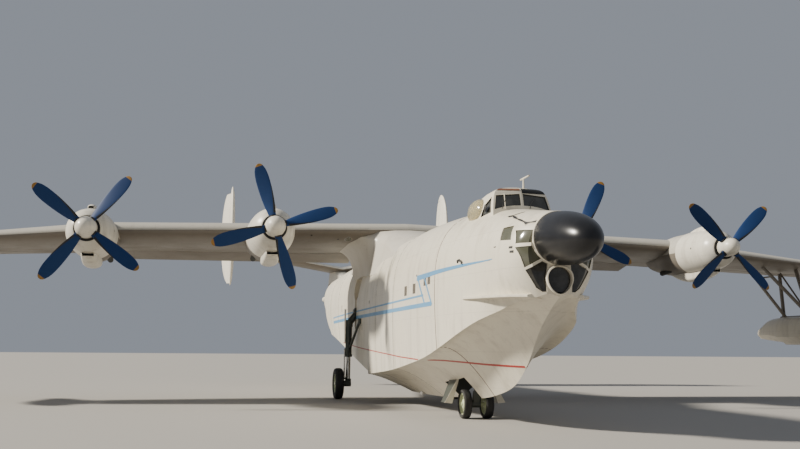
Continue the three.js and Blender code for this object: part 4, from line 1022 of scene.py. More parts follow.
def nose_liner(name, material, keep_low):
    """The glass just inside the nose's skin, below or above the line over the cheek panes."""
    ys = NOSE_ROOM_YS[:-1]
    liner = make_object(name, loft([hull_ring(y, NOSE_WALL + 0.002) for y in ys]), material)
    inner_ys = [ys[0] + 0.02, *ys[1:-1], ys[-1] + 0.1]
    tools = [
        cutter(loft([hull_ring(y, NOSE_WALL + 0.02) for y in inner_ys]), material),
        cutter(block(ACROSS, PANES_Y, (0, NOSE_FLOOR + 0.002)), material),
    ]
    if keep_low:
        above = [(-1.5, 5.5), *CHEEK_TOP, (1.5, 5.5)]
        tools.append(cutter(prism("y", above, *PANES_Y), material))
        tools.append(cutter(block(ACROSS, (CHEEK_END, PANES_Y[1]), (0, 6)), material))
    else:
        below = [(-1.5, 2.0), *CHEEK_TOP, (1.5, 2.0)]
        tools.append(cutter(prism("y", below, PANES_Y[0], CHEEK_END), material))
    carve(liner, tools)
    return liner


def build_nose_glass():
    # Dark glass below the line is painted shade, and paler glass above it is painted light
    upper = nose_liner("nose_upper_glass", SIDE_GLASS, False)
    dress(upper, replaces=("nose_glass",))
    dress(nose_liner("nose_lower_glass", SHADED_GLASS, True))
    rings = []
    for y, size in BOW_RIM_SECTION:
        rings.append([(x, NOSE_FACE_Y + y, z) for x, z in drop_outline(size)])
    add_piece("bow_window_rim", closed_loft(rings), HULL)


RADOME_STEPS = 28
RADOME_BULGE = 0.05
RADOME_BLUNTNESS = 0.8
RADOME_LEAN = math.radians(6)
# The white ring behind the radome, as (aft of the nose's face, radius)
RADOME_RING = [
    (0.01, 0.51), (0.01, 0.552), (-0.008, 0.558), (-0.020, 0.556), (-0.026, 0.548), (-0.026, 0.51),
]


def build_radome():
    length = NOSE_FACE_Y + HALF_LENGTH
    rows = []
    for i in range(RADOME_STEPS):
        angle = i / RADOME_STEPS * math.pi / 2
        bulge = 1 + RADOME_BULGE * math.sin(2 * angle)
        radius = RADOME_RADIUS * math.cos(angle) ** RADOME_BLUNTNESS * bulge
        rows.append((-length * math.sin(angle), radius))
    rows.append((-length * 0.9995, 0.012))
    verts, faces = lathe(rows, (0, 0, 0), sides=64)
    lean = math.tan(RADOME_LEAN)
    verts = [Vector((v.x, v.y + NOSE_FACE_Y, v.z + RADOME_Z + v.y * lean)) for v in verts]
    add_piece("radome_skin", (verts, faces), RADOME, replaces=("radome",))
    rows = [(NOSE_FACE_Y + aft, radius) for aft, radius in RADOME_RING]
    add_piece("radome_ring", closed_lathe(rows, (0, 0, RADOME_Z), sides=64), HULL)


# Canopy. Columns: z, front y, corner x, corner y, side x, side y, rear x, rear y, rear end y.
CANOPY = [
    (4.30, -15.68, 0.72, -15.61, 0.90, -14.65, 0.90, -13.50, -12.90),
    (4.87, -15.51, 0.68, -15.46, 0.83, -14.60, 0.80, -13.70, -13.15),
    (5.23, -15.39, 0.61, -15.32, 0.65, -14.60, 0.56, -13.95, -13.70),
    (5.36, -15.32, 0.50, -15.24, 0.50, -14.60, 0.40, -14.05, -13.90),
    (5.43, -15.10, 0.20, -15.05, 0.22, -14.60, 0.20, -14.25, -14.15),
]


def canopy_form(inset, low=CANOPY[0][0]):
    rings = []
    for z in stations(CANOPY, 0.04):
        if z < low - 0.001:
            continue
        _, front_y, corner_x, corner_y, side_x, side_y, rear_x, rear_y, end_y = along(CANOPY, z)
        half = [
            (0.0, front_y + inset),
            (corner_x - inset, corner_y + inset),
            (lerp(corner_x, side_x, 0.5) + 0.01 - inset, lerp(corner_y, side_y, 0.5)),
            (side_x - inset, side_y),
            (lerp(side_x, rear_x, 0.5) + 0.02 - inset, lerp(side_y, rear_y, 0.5)),
            (rear_x - inset, rear_y - inset),
            (rear_x * 0.55, lerp(rear_y, end_y, 0.7) - inset),
            (0.0, end_y - inset),
        ]
        top = inset if z >= CANOPY[-1][0] else 0.0
        rings.append([(x, y, z - top) for x, y in both_halves(half)])
    return loft(rings)


# Canopy windows: the windscreen as (x, z), and the side ones as (y, z), with the y or x of each cut
WINDSHIELD_Y = (-16.0, -15.15)
SIDE_CUT_X = (0.35, 1.2)
WINDSHIELD = [(0.035, 4.965), (0.25, 4.955), (0.45, 4.92), (0.645, 4.86), (0.58, 5.20), (0.035, 5.245)]
QUARTER_PANE = [(-15.23, 5.19), (-15.38, 4.80), (-14.90, 4.74), (-14.98, 5.02)]
BUBBLE_HOLE = [
    (-14.70, 5.08), (-14.75, 4.80), (-14.0, 4.78), (-13.95, 5.0), (-14.2, 5.12), (-14.5, 5.13),
]


def canopy_tools():
    tools = []
    for side in (1, -1):
        front = [(side * x, z) for x, z in WINDSHIELD]
        tools.append(cutter(prism("y", front, *WINDSHIELD_Y), BLACK))
        xs = [side * x for x in SIDE_CUT_X]
        for outline in (QUARTER_PANE, BUBBLE_HOLE):
            tools.append(cutter(prism("x", outline, *xs), BLACK))
    return tools


# How far a roof edge stands out from the canopy and reaches into it, along y and z
EDGE_OUT = (-0.008, 0.004)
EDGE_IN = (0.012, -0.004)


def brow_form(low, high):
    """A strip over the front of the canopy's roof, on the port side."""
    tops, lows = [], []
    for z in spread(low, high, 6):
        _, front_y, corner_x, corner_y = along(CANOPY, z)[:4]
        places = [(lerp(0.02, corner_x, t), lerp(front_y, corner_y, t)) for t in spread(0.0, 0.98, 6)]
        tops.append([(x, y + EDGE_OUT[0], z + EDGE_OUT[1]) for x, y in places])
        lows.append([(x, y + EDGE_IN[0], z + EDGE_IN[1]) for x, y in places])
    return slab(tops, lows)


# The walls of the canopy and of its panes: outside depth, inside depth and lowest z of each
CANOPY_INSIDE = 0.05
PANES_OUTSIDE = (0.03, 4.75)
PANES_INSIDE = (0.042, 4.6)
# The thin post in the starboard windscreen, and the edges of the roof as (low z, high z)
WINDSCREEN_POST = [(-0.405, -15.497, 4.88), (-0.385, -15.355, 5.24)]
POST_RADIUS = 0.010
STARBOARD_EDGE = (5.325, 5.375)
PORT_EDGE = (5.258, 5.385)
# The vent in the starboard quarter window, as its centre and radii
QUARTER_VENT = [(-0.765, -15.12, 4.93), (0.02, 0.085, 0.085)]
# Wipers: the x of their feet, and one of them as (x from its foot, y, z)
WIPER_FEET = (-0.5, 0.15)
WIPER = [(0.0, -15.55, 4.87), (0.05, -15.475, 5.0), (0.16, -15.43, 5.14)]
WIPER_RADIUS = 0.008
# The bulged side windows
BLISTER_CENTRE = (0.69, -14.42, 4.90)
BLISTER_RADII = (0.26, 0.52, 0.33)
BLISTER_INSIDE = (0.248, 0.508, 0.318)


def build_canopy():
    outer = make_object("canopy_shell", canopy_form(0.0), HULL)
    inner = cutter(canopy_form(CANOPY_INSIDE), DARK_SHADE)
    carve(outer, [inner, *canopy_tools()], ROUND_SHARP)
    dress(outer, replaces=("canopy_frame",))
    liner = make_object("canopy_panes", canopy_form(*PANES_OUTSIDE), CANOPY_GLASS)
    carve(liner, [cutter(canopy_form(*PANES_INSIDE), CANOPY_GLASS)], ROUND_SHARP)
    dress(liner, replaces=("canopy_glass",))
    add_piece("windscreen_post", tube(WINDSCREEN_POST, POST_RADIUS, 8), HULL)
    add_piece("roof_edge_starboard", mirrored(brow_form(*STARBOARD_EDGE)), BROWN)
    add_piece("roof_edge_port", brow_form(*PORT_EDGE), BLACK)
    add_piece("quarter_window_vent", ball(*QUARTER_VENT, 24), BLACK)
    wipers = [tube([(foot + x, y, z) for x, y, z in WIPER], WIPER_RADIUS) for foot in WIPER_FEET]
    add_piece("wipers", gather(wipers), BLACK)
    build_blisters()


def build_blisters():
    outer = make_object("blister", ball(BLISTER_CENTRE, BLISTER_RADII, 40), BLISTER_GLASS)
    tools = [
        cutter(ball(BLISTER_CENTRE, BLISTER_INSIDE, 40), BLISTER_GLASS),
        cutter(canopy_form(-0.001), BLISTER_GLASS),
    ]
    carve(outer, tools)
    verts = [v.co.copy() for v in outer.data.vertices]
    form = verts, [tuple(p.vertices) for p in outer.data.polygons]
    bpy.data.objects.remove(outer)
    add_pair("side_blister", form, BLISTER_GLASS, replaces="blister")


# Wing sections
SKIN_STEPS = 22
CAMBER = 0.025
TRAILING_HALF = 0.003
# The radius of a surface's nose as a share of the half thickness at its hinge, the angles that
# the nose spans, and how far behind the hinge its skin starts, as a share of that half thickness
NOSE_SHARE = 0.94
NOSE_ANGLES = (math.radians(75), math.radians(285))
NOSE_REACH = 0.25
# The most that a surface turns, which sets the gap ahead of it
FLAP_TRAVEL = math.radians(35)
AILERON_TRAVEL = math.radians(25)
ELEVATOR_TRAVEL = math.radians(25)
# The length of one step of a loft, at most
PANEL_STEP = 1.0
SURFACE_STEP = 0.8
# The rounded tip as (inset from the tip, share of the chord), the x where it starts, and how much
# of the chord that it loses is lost at its front
WING_TIP = [(0.45, 0.93), (0.30, 0.85), (0.18, 0.74), (0.09, 0.61), (0.04, 0.48), (0.0, 0.3)]
WING_TIP_FROM = 17.35
WING_TIP_AFT = 0.45


def thickness_at(t, thick):
    """Half the thickness of a four-digit section, as a share of its chord."""
    shape = 0.2969 * math.sqrt(t) - 0.126 * t - 0.3516 * t**2 + 0.2843 * t**3 - 0.1036 * t**4
    return 5 * thick * shape


def wing_at(x):
    inner = min(x, PANEL_X)
    outer = max(x - PANEL_X, 0)
    share = outer / (HALF_SPAN - PANEL_X)
    return {
        "x": x,
        "y": WING_LE_Y + outer * OUTER_SWEEP,
        "z": WING_LE_Z - inner * INNER_DROP - outer * OUTER_DROP,
        "chord": lerp(WING_CHORD, TIP_CHORD, share),
        "thick": lerp(ROOT_THICKNESS, TIP_THICKNESS, share),
        "camber": CAMBER,
        "twist": lerp(ROOT_INCIDENCE, PANEL_INCIDENCE, inner / PANEL_X),
    }


def tailplane_at(x):
    share = x / FIN_X
    return {
        "x": x,
        "y": lerp(*TAILPLANE_LE_Y, share),
        "z": TAILPLANE_Z + x * TAILPLANE_RISE,
        "chord": lerp(*TAILPLANE_CHORD, share),
        "thick": TAILPLANE_THICKNESS,
        "camber": 0,
        "twist": 0,
    }


def section_place(wing, aft, up):
    """A point of a section, from its distance aft of the leading edge and its height."""
    sin, cos = math.sin(wing["twist"]), math.cos(wing["twist"])
    return Vector((wing["x"], wing["y"] + aft * cos + up * sin, wing["z"] + up * cos - aft * sin))


def skin_point(wing, t, side):
    half = 0.0 if t == 0 else thickness_at(t, wing["thick"]) * wing["chord"] + TRAILING_HALF
    up = 4 * wing["camber"] * t * (1 - t) * wing["chord"] + side * half
    return t * wing["chord"], up


def hinge_of(wing, share):
    upper, lower = skin_point(wing, share, 1), skin_point(wing, share, -1)
    return (upper[0] + lower[0]) / 2, (upper[1] + lower[1]) / 2, (upper[1] - lower[1]) / 2


def round_section(skin, ts):
    """Up one side of a section and back along the other; skin takes (t, side)."""
    return [skin(t, 1) for t in ts] + [skin(t, -1) for t in ts[-2::-1]]


def cut_steps(cut, count):
    """Values from cut down to 0, closer together at both ends."""
    return [cut * (1 + math.cos(math.pi * i / count)) / 2 for i in range(count + 1)]


def hollow_back(half, ahead):
    """The hollow that a surface's nose turns in, as its radius and the angles round the hinge."""
    radius = half * NOSE_SHARE + RUN_GAP
    start = math.acos(-min(ahead / radius, 0.95))
    return radius, spread(2 * math.pi - start, start, 10)


def round_nose(half):
    """A surface's nose, as its radius and the angles round the hinge."""
    return half * NOSE_SHARE, spread(*NOSE_ANGLES, 12)


def fixed_ring(wing, share=None, ahead=0.0):
    """A whole section, or the part ahead of a hinge with a hollow back that follows its nose."""
    def skin(t, side):
        return skin_point(wing, t, side)

    if share is None:
        pairs = round_section(skin, smooth_spread(1, 0, SKIN_STEPS))
        return [section_place(wing, *p) for p in pairs]
    hinge_aft, hinge_up, half = hinge_of(wing, share)
    pairs = round_section(skin, cut_steps(share - ahead / wing["chord"], SKIN_STEPS))
    radius, angles = hollow_back(half, ahead)
    pairs += [(hinge_aft + radius * math.cos(a), hinge_up + radius * math.sin(a)) for a in angles]
    return [section_place(wing, *p) for p in pairs]


def surface_ring(wing, share):
    """The part of a section behind a hinge, with a round nose on the hinge's line."""
    hinge_aft, hinge_up, half = hinge_of(wing, share)
    ts = spread(1, share + NOSE_REACH * half / wing["chord"], 10)
    pairs = [skin_point(wing, t, 1) for t in ts]
    radius, angles = round_nose(half)
    pairs += [(hinge_aft + radius * math.cos(a), hinge_up + radius * math.sin(a)) for a in angles]
    pairs += [skin_point(wing, t, -1) for t in reversed(ts)]
    return [section_place(wing, *p) for p in pairs]


def hinge_line(at, xs, share):
    points = []
    for x in xs:
        wing = at(x)
        aft, up, _ = hinge_of(wing, share)
        points.append(section_place(wing, aft, up))
    return points[0], (points[1] - points[0]).normalized()


def ahead_of(at, xs, share, travel):
    deepest = max(hinge_of(at(x), share)[2] for x in xs)
    swept = deepest * max(0.0, math.sin(travel) - NOSE_REACH * math.cos(travel))
    return swept + RUN_GAP


def panel_forms(at, xs, surface_xs, share, travel, tips=()):
    """The fixed part of a panel as lofts between its stations, with room for its surface."""
    low, high = surface_xs[0] - END_GAP, surface_xs[1] + END_GAP
    ahead = ahead_of(at, surface_xs, share, travel)
    spans = [(xs[0], low, None), (low, high, share), (high, xs[1], None)]
    forms = []
    for start, end, kind in spans:
        steps = max(2, round((end - start) / PANEL_STEP))
        rings = [fixed_ring(at(x), kind, ahead) for x in spread(start, end, steps)]
        if end == xs[1]:
            rings += tips
        forms.append(loft(rings))
    return forms


def surface_form(at, surface_xs, share):
    steps = max(2, round((surface_xs[1] - surface_xs[0]) / SURFACE_STEP))
    return loft([surface_ring(at(x), share) for x in spread(*surface_xs, steps)])


# The saddle. Columns: y, top z, crease x, z, outer x, z, bend x, z, foot x, z
SADDLE = [
    (-8.30, 5.150, 1.00, 4.70, 1.10, 4.60, 1.20, 4.40, 1.35, 4.15),
    (-7.10, 5.235, 1.19, 4.67, 1.22, 4.60, 1.30, 4.40, 1.40, 4.15),
    (-5.30, 5.520, 1.05, 5.21, 1.13, 5.08, 1.18, 4.70, 1.42, 4.15),
    (-3.60, 5.790, 0.91, 5.72, 1.15, 5.45, 1.30, 4.85, 1.44, 4.20),
    (-3.20, 5.840, 1.40, 5.70, 1.70, 5.57, 1.48, 5.15, 1.45, 4.22),
    (-2.50, 5.850, 1.70, 5.60, 2.10, 5.41, 1.56, 5.30, 1.45, 4.25),
    (-0.60, 5.740, 1.70, 5.48, 2.10, 5.30, 1.54, 5.20, 1.45, 4.25),
    (-0.45, 5.730, 1.20, 5.45, 1.35, 5.20, 1.40, 5.00, 1.42, 4.40),
    (1.30, 5.450, 0.80, 5.36, 1.05, 5.17, 1.20, 5.02, 1.26, 4.60),
    (2.40, 5.340, 0.62, 5.27, 0.85, 5.13, 1.02, 5.00, 1.14, 4.72),
    (3.20, 5.240, 0.42, 5.19, 0.62, 5.10, 0.82, 5.00, 0.98, 4.82),
    (3.80, 5.180, 0.25, 5.15, 0.40, 5.08, 0.55, 5.00, 0.75, 4.90),
]


def saddle_ring(y, top_z, crease_x, crease_z, outer_x, outer_z, bend_x, bend_z, foot_x, foot_z):
    half = [(0.0, top_z), (crease_x * 0.5, lerp(top_z, crease_z, 0.22))]
    half += [(crease_x, crease_z), (outer_x, outer_z)]
    for t in spread(0, 1, 16)[1:]:
        half.append((bend(outer_x, bend_x, foot_x, t), bend(outer_z, bend_z, foot_z, t)))
    half.append((0.0, foot_z))
    return [(x, y, z) for x, z in both_halves(half)]


def build_wing():
    halves = panel_forms(wing_at, (0.0, PANEL_X), FLAP_X, HINGE_SHARE, FLAP_TRAVEL)
    middle = gather(halves + [mirrored(form) for form in halves])
    add_piece("wing_middle", middle, WING_SHADED, replaces=("wing_center",), top=WING_TOP)
    saddle = lofted(SADDLE, 0.12, saddle_ring)
    add_piece("wing_saddle", saddle, SADDLE_PAINT, angle=SADDLE_SHARP)
    point, axis = hinge_line(wing_at, FLAP_X, HINGE_SHARE)
    flap = turned(surface_form(wing_at, FLAP_X, HINGE_SHARE), point, axis, -FLAP_DROOP)
    add_pair("wing_flap", flap, WING_SHADED, "flap", "flap", top=WING_TOP)

    tips = []
    for inset, share in WING_TIP:
        tip = wing_at(HALF_SPAN - inset)
        tip["y"] += tip["chord"] * (1 - share) * WING_TIP_AFT
        tip["chord"] *= share
        tips.append(fixed_ring(tip))
    xs = (PANEL_X + 0.0003, WING_TIP_FROM)
    panel = gather(panel_forms(wing_at, xs, AILERON_X, HINGE_SHARE, AILERON_TRAVEL, tips))
    add_pair("wing_panel", panel, WING_SHADED, replaces="wing_outer", top=WING_TOP)
    aileron = surface_form(wing_at, AILERON_X, HINGE_SHARE)
    add_pair("wing_aileron", aileron, WING_SHADED, "aileron", "aileron", top=WING_TOP)
    build_wing_marks()


def underside(x, y):
    """The height of the wing's underside."""
    wing = wing_at(abs(x))
    low, high = 0.0, 1.0
    for _ in range(30):
        middle = (low + high) / 2
        if section_place(wing, *skin_point(wing, middle, -1)).y < y:
            low = middle
        else:
            high = middle
    return section_place(wing, *skin_point(wing, low, -1)).z


def underside_plate(x, y, half_x, half_y, lift, sides=28):
    """An oval plate on the wing's underside."""
    rings = []
    for drop in (lift, -0.02):
        outline = [(x + half_x * c, y + half_y * s) for c, s in circle(sides)]
        rings.append([(a, b, underside(a, b) - drop) for a, b in outline])
    return loft(rings)


# Marks on the starboard wing's underside: a landing light and round holes as (x, y, half x,
# half y), and a line of rust as x and y ranges
LIGHT_PANE = (-2.06, -3.06, 0.11, 0.16)
LIGHT_RIM = 0.02
# The round holes are black ovals on the skin: painted shade for their insides
UNDER_HOLES = [
    (-2.42, -3.07, 0.035, 0.035), (-1.76, -2.44, 0.03, 0.03), (-3.36, -3.33, 0.03, 0.03),
    (-3.99, -3.33, 0.03, 0.03),
]
RUST_X = (-13.7, -12.3)
RUST_Y = (-1.08, -1.06)


def build_wing_marks():
    x, y, half_x, half_y = LIGHT_PANE
    rim = underside_plate(x, y, half_x + LIGHT_RIM, half_y + LIGHT_RIM, 0.003)
    add_piece("landing_light_rim", rim, STEEL)
    pane = underside_plate(*LIGHT_PANE, 0.006)
    add_piece("landing_light", pane, SIDE_GLASS)
    holes = gather([underside_plate(*row, 0.004) for row in UNDER_HOLES])
    add_piece("underside_holes_painted_shade", holes, BLACK)
    tops, lows = [], []
    for x in spread(*RUST_X, 3):
        skin = [(y, underside(x, y)) for y in RUST_Y]
        tops.append([(x, y, z - MARK_LIFT) for y, z in skin])
        lows.append([(x, y, z + MARK_DEPTH) for y, z in skin])
    add_piece("rust_line", slab(tops, lows), BROWN)


# Engines. The front of a cowl lies this far behind the middle of its propeller
COWL_AFT = 0.33
NACELLE_RADIUS = 0.75
COWL_MOUTH = 0.37
COWL_END = -4.0
# The cowl's rear edge stands this much over the tail of the nacelle
COWL_EDGE = 0.012
# The intake's duct and the cowl as (aft of the front, radius), and the nacelle's tail as (y, radius)
DUCT = [(0.5, 0.33), (0.3, 0.35)]
COWL_OUTSIDE = [
    (0.012, COWL_MOUTH + 0.004), (0.0, COWL_MOUTH + 0.018), (0.03, COWL_MOUTH + 0.06), (0.25, 0.59),
    (0.7, 0.69), (1.3, 0.735), (1.9, NACELLE_RADIUS),
]
NACELLE_TAIL = [
    (-3.3, NACELLE_RADIUS), (-2.3, 0.68), (-1.4, 0.51), (-0.75, 0.33), (-0.38, 0.09),
]
# The gap round the spinner, filled with a black ring of painted shade, as (aft of the front, radius)
MOUTH_GAP = [
    (-0.004, SPINNER_RADIUS + 0.008), (-0.004, COWL_MOUTH + 0.012), (0.06, COWL_MOUTH - 0.004),
    (0.06, SPINNER_RADIUS + 0.008),
]
# Round holes in both sides of a cowl, drawn as black ovals of painted shade: centre as (x, aft of the
# front, z), and radii
COWL_HOLE = (0.708, 1.0, 0.05)
COWL_HOLE_RADII = (0.012, 0.045, 0.045)

# The intake under a cowl. Columns: aft of its front, half width, drop of its top, of its bottom
CHIN_AFT = 0.62
CHIN = [
    (0.0, 0.195, 0.60, 0.79), (0.06, 0.215, 0.60, 0.83), (0.5, 0.24, 0.60, 0.95),
    (1.4, 0.26, 0.56, 1.03), (2.2, 0.23, 0.52, 0.95), (2.9, 0.17, 0.50, 0.76),
]
CHIN_CROWN = 0.13
# Its slot: half width, aft of the intake's front, height
CHIN_SLOT = [0.17, (-0.2, 0.5), (-0.765, -0.645)]
# The scoop on top of a cowl. Columns: aft of the cowl's front, half width, foot, crest
SCOOP = [
    (0.9, 0.095, 0.60, 0.81), (1.0, 0.11, 0.6, 0.85), (1.25, 0.135, 0.6, 0.895),
    (1.8, 0.11, 0.6, 0.86), (2.3, 0.06, 0.6, 0.77),
]
SCOOP_CROWN = 0.6
SCOOP_SLOT = [0.075, (0.7, 1.2), (0.735, 0.795)]
# Both. Columns: name, aft of the cowl's front, lines, step, -1 under the cowl or 1 on top of it,
# steps round the arch, slot
INTAKES = [
    ("chin_intake", CHIN_AFT, CHIN, 0.15, -1, 10, CHIN_SLOT),
    ("top_scoop", 0.0, SCOOP, 0.1, 1, 8, SCOOP_SLOT),
]

# The start and the end of an exhaust pipe as (x from the engine's middle, y, drop)
EXHAUST = [(0.38, -3.3, 0.48), (0.40, -2.25, 0.60)]
EXHAUST_RADII = [0.11, 0.105, 0.095]
EXHAUST_BORE = 0.078


def from_front(rows, front):
    return [(front + row[0], *row[1:]) for row in rows]


def build_nacelle(name, x, prop_y, z):
    front = prop_y + COWL_AFT
    outside = from_front(COWL_OUTSIDE, front) + NACELLE_TAIL
    rows = from_front(DUCT, front) + [along(outside, y) for y in stations(outside, 0.12)]
    inner = NACELLE_RADIUS - COWL_EDGE
    cowl = [row for row in rows if row[0] < COWL_END] + [(COWL_END, NACELLE_RADIUS)]
    tail = [(COWL_END - 0.02, inner)] + [(y, min(radius, inner)) for y, radius in rows if y > COWL_END]
    cowl = lathe(cowl, (x, 0, z), sides=64)
    tail = lathe(tail, (x, 0, z), sides=64)
    add_piece(
        f"cowl_{name}", cowl, COWL, replaces=(f"nacelle_{name}",), angle=ROUND_SHARP
    )
    # The nacelle's tail takes the dark painted shade below and the wing's top paint above
    add_piece(
        f"nacelle_tail_{name}", tail, WING_SHADED, angle=ROUND_SHARP, top=WING_TOP
    )
    gap = closed_lathe(from_front(MOUTH_GAP, front), (x, 0, z))
    add_piece(f"cowl_gap_painted_shade_{name}", gap, BLACK)
    out, aft, up = COWL_HOLE
    holes = [ball((x + side * out, front + aft, z + up), COWL_HOLE_RADII, 20) for side in (-1, 1)]
    add_piece(f"cowl_holes_painted_shade_{name}", gather(holes), BLACK)
    build_intakes(name, x, front, z)
    build_exhausts(name, x, z)


def build_intakes(name, x, cowl_front, z):
    for stem, aft, lines, step, way, count, slot in INTAKES:
        front = cowl_front + aft
        rows = from_front(lines, front)
        rings = []
        for y in stations(rows, step):
            _, half, foot, crest = along(rows, y)
            crown = CHIN_CROWN if way < 0 else half * SCOOP_CROWN
            outline = arch(half, foot, crest, crown, count)
            rings.append([(x + dx, y, z + way * dz) for dx, dz in outline])
        intake = make_object(f"{stem}_{name}", loft(rings), COWL)
        half, ys, zs = slot
        hole = block((x - half, x + half), [front + a for a in ys], [z + up for up in zs])
        carve(intake, [cutter(hole, DARK_SHADE)], INTAKE_SHARP)
        dress(intake)


def build_exhausts(name, x, z):
    forms = []
    for side in (-1, 1):
        start, end = [Vector((x + side * out, y, z - drop)) for out, y, drop in EXHAUST]
        forms.append(tube([start, start.lerp(end, 0.5), end], EXHAUST_RADII, 24))
        forms.append(tube([start.lerp(end, 0.9), end + (end - start) * 0.01], EXHAUST_BORE, 24))
    # The pipes and their bores take the near-black painted shade
    add_piece(f"exhausts_{name}", gather(forms), DARK_SHADE)


# One blade, as (distance from the hub, chord, thickness, pitch in degrees)
BLADE = [
    (0.12, 0.15, 0.12, 45), (0.38, 0.27, 0.10, 38), (0.70, 0.37, 0.055, 32), (1.10, 0.43, 0.032, 27),
    (1.50, 0.43, 0.022, 23), (1.75, 0.36, 0.016, 21), (1.89, 0.24, 0.012, 20),
]
# The rounded end of a blade, as (distance from the hub, chord)
BLADE_END = [(1.92, 0.20), (1.945, 0.145), (1.96, 0.09), (PROP_RADIUS - 0.004, 0.04)]
TIP_START = 1.88
# The black strip on the leading edge: where it starts and ends, and its half angle there
BOOT_REACH = (0.40, 1.25)
BOOT_WIDTH = (0.95, 0.35)
BOOT_OUTSIDE, BOOT_INSIDE = 0.003, -0.004
# A blade's root as (distance from the hub, radius)
BLADE_ROOT = [(0.27, 0.115), (0.345, 0.105)]
# The spinner: its nose as (ahead of the propeller's middle, radius), the length of its round part
# and how far behind the middle that ends, and its back as (aft of the middle, less than its radius)
SPINNER_NOSE = (0.429, 0.012)
SPINNER_LENGTH = 0.45
SPINNER_SHIFT = 0.02
SPINNER_BACK = [(0.15, 0.0), (0.27, 0.0), (0.29, 0.01)]


def blade_point(centre, angle, reach, u, w):
    """A point of a blade: u across it towards its leading edge, and w through it."""
    pitch = -math.radians(along(BLADE, min(reach, BLADE[-1][0]))[3])
    across = u * math.cos(pitch) - w * math.sin(pitch)
    fore = u * math.sin(pitch) + w * math.cos(pitch)
    return Vector((
        centre.x + reach * math.sin(angle) + across * math.cos(angle),
        centre.y + fore,
        centre.z + reach * math.cos(angle) - across * math.sin(angle),
    ))


def blade_reaches():
    inner = [r for r in stations(BLADE, 0.08) if abs(r - TIP_START) > 0.03]
    return sorted([*inner, TIP_START]) + [row[0] for row in BLADE_END]


def blade_form(centre, angle, start, end):
    ends = dict(BLADE_END)
    rings = []
    for reach in [r for r in blade_reaches() if start - 1e-6 <= r <= end + 1e-6]:
        _, chord, thick, _ = along(BLADE, min(reach, BLADE[-1][0]))
        chord = ends.get(reach, chord)
        pairs = [(chord / 2 * c, thick / 2 * s) for c, s in circle(20)]
        rings.append([blade_point(centre, angle, reach, u, w) for u, w in pairs])
    return loft(rings)


def boot_form(centre, angle):
    """The black strip over the leading edge of a blade's inner part."""
    start, end = BOOT_REACH
    rings = []
    for reach in spread(start, end, 8):
        _, chord, thick, _ = along(BLADE, reach)
        width = lerp(*BOOT_WIDTH, (reach - start) / (end - start))
        ring = []
        for grow, way in ((BOOT_OUTSIDE, 1), (BOOT_INSIDE, -1)):
            for a in spread(-width * way, width * way, 8):
                u, w = (chord / 2 + grow) * math.cos(a), (thick / 2 + grow) * math.sin(a)
                ring.append(blade_point(centre, angle, reach, u, w))
        rings.append(ring)
    return loft(rings)


def root_form(centre, angle):
    way = Vector((math.sin(angle), 0, math.cos(angle)))
    return tube([centre + way * reach for reach, _ in BLADE_ROOT], [row[1] for row in BLADE_ROOT], 20)


def spinner_form(x, prop_y, z):
    rows = [(prop_y - SPINNER_NOSE[0], SPINNER_NOSE[1])]
    for i in range(1, 13):
        a = i / 12 * math.pi / 2
        y = prop_y + SPINNER_SHIFT - SPINNER_LENGTH * math.cos(a)
        rows.append((y, SPINNER_RADIUS * math.sin(a)))
    rows += [(prop_y + aft, SPINNER_RADIUS - less) for aft, less in SPINNER_BACK]
    return lathe(rows, (x, 0, z), sides=48)


def build_propeller(name, x, prop_y, z, phase):
    centre = Vector((x, prop_y, z))
    body = f"propeller_{name}"
    angles = [phase + k * math.pi / 2 for k in range(4)]
    blades = gather([blade_form(centre, angle, 0.0, TIP_START) for angle in angles])
    tips = gather([blade_form(centre, angle, TIP_START, PROP_RADIUS) for angle in angles])
    boots = gather([boot_form(centre, angle) for angle in angles])
    roots = gather([root_form(centre, angle) for angle in angles])
    add_piece(f"blades_{name}", blades, BLADE_BLUE, body, (body,))
    add_piece(f"blade_tips_{name}", tips, TIP_ORANGE, body)
    add_piece(f"blade_boots_{name}", boots, BLACK, body)
    add_piece(f"spinner_{name}", spinner_form(x, prop_y, z), COWL, body)
    add_piece(f"blade_roots_{name}", roots, BLACK, body)


def build_engines():
    for name, x, prop_y, z, phase in ENGINES:
        build_nacelle(name, x, prop_y, z)
        build_propeller(name, x, prop_y, z, phase)


# Tail

# How square a fin's outline is, and its least chord, as the square of a share of its full one
FIN_SQUARENESS = 2.6
FIN_LEAST = 0.012
# How far ahead of the hinge the fin ends, as a share of the half thickness there
FIN_AHEAD = 0.2
# The pylon under the tailplane. Columns: y, low z, high z, half width
PYLON = [
    (11.3, 5.06, 5.16, 0.06), (12.2, 5.04, 5.56, 0.33), (13.2, 5.03, 5.85, 0.42),
    (14.4, 5.00, 5.81, 0.38), (15.5, 4.90, 5.53, 0.20), (16.3, 4.80, 5.12, 0.04),
]
PYLON_CROWN, PYLON_FOOT = 0.16, 0.06
TAILPLANE_X = (0.0, 5.3)
# The tailplane's tip behind the elevator is cut at this share, so it stops short of the rudder
TAIL_TIP_SHARE = 0.52
# The detector boom as (y, radius)
BOOM = [
    (17.2005, 0.185), (17.45, 0.15), (17.7, 0.12), (18.3, 0.085), (18.34, 0.12), (18.38, 0.148),
    (19.15, 0.15), (19.3, 0.13), (19.4, 0.085), (19.449, 0.012),
]
BOOM_Z = 4.52
# The water rudder. Columns: z, length, share of its width
WATER_RUDDER = [
    (1.85, 0.33, 0.55), (2.0, 0.36, 0.8), (2.3, 0.39, 0.8), (2.45, 0.36, 0.7), (2.56, 0.1, 0.6),
]
WATER_RUDDER_Y = 9.56
WATER_RUDDER_TOP = 2.641
WATER_RUDDER_HALF = 0.045


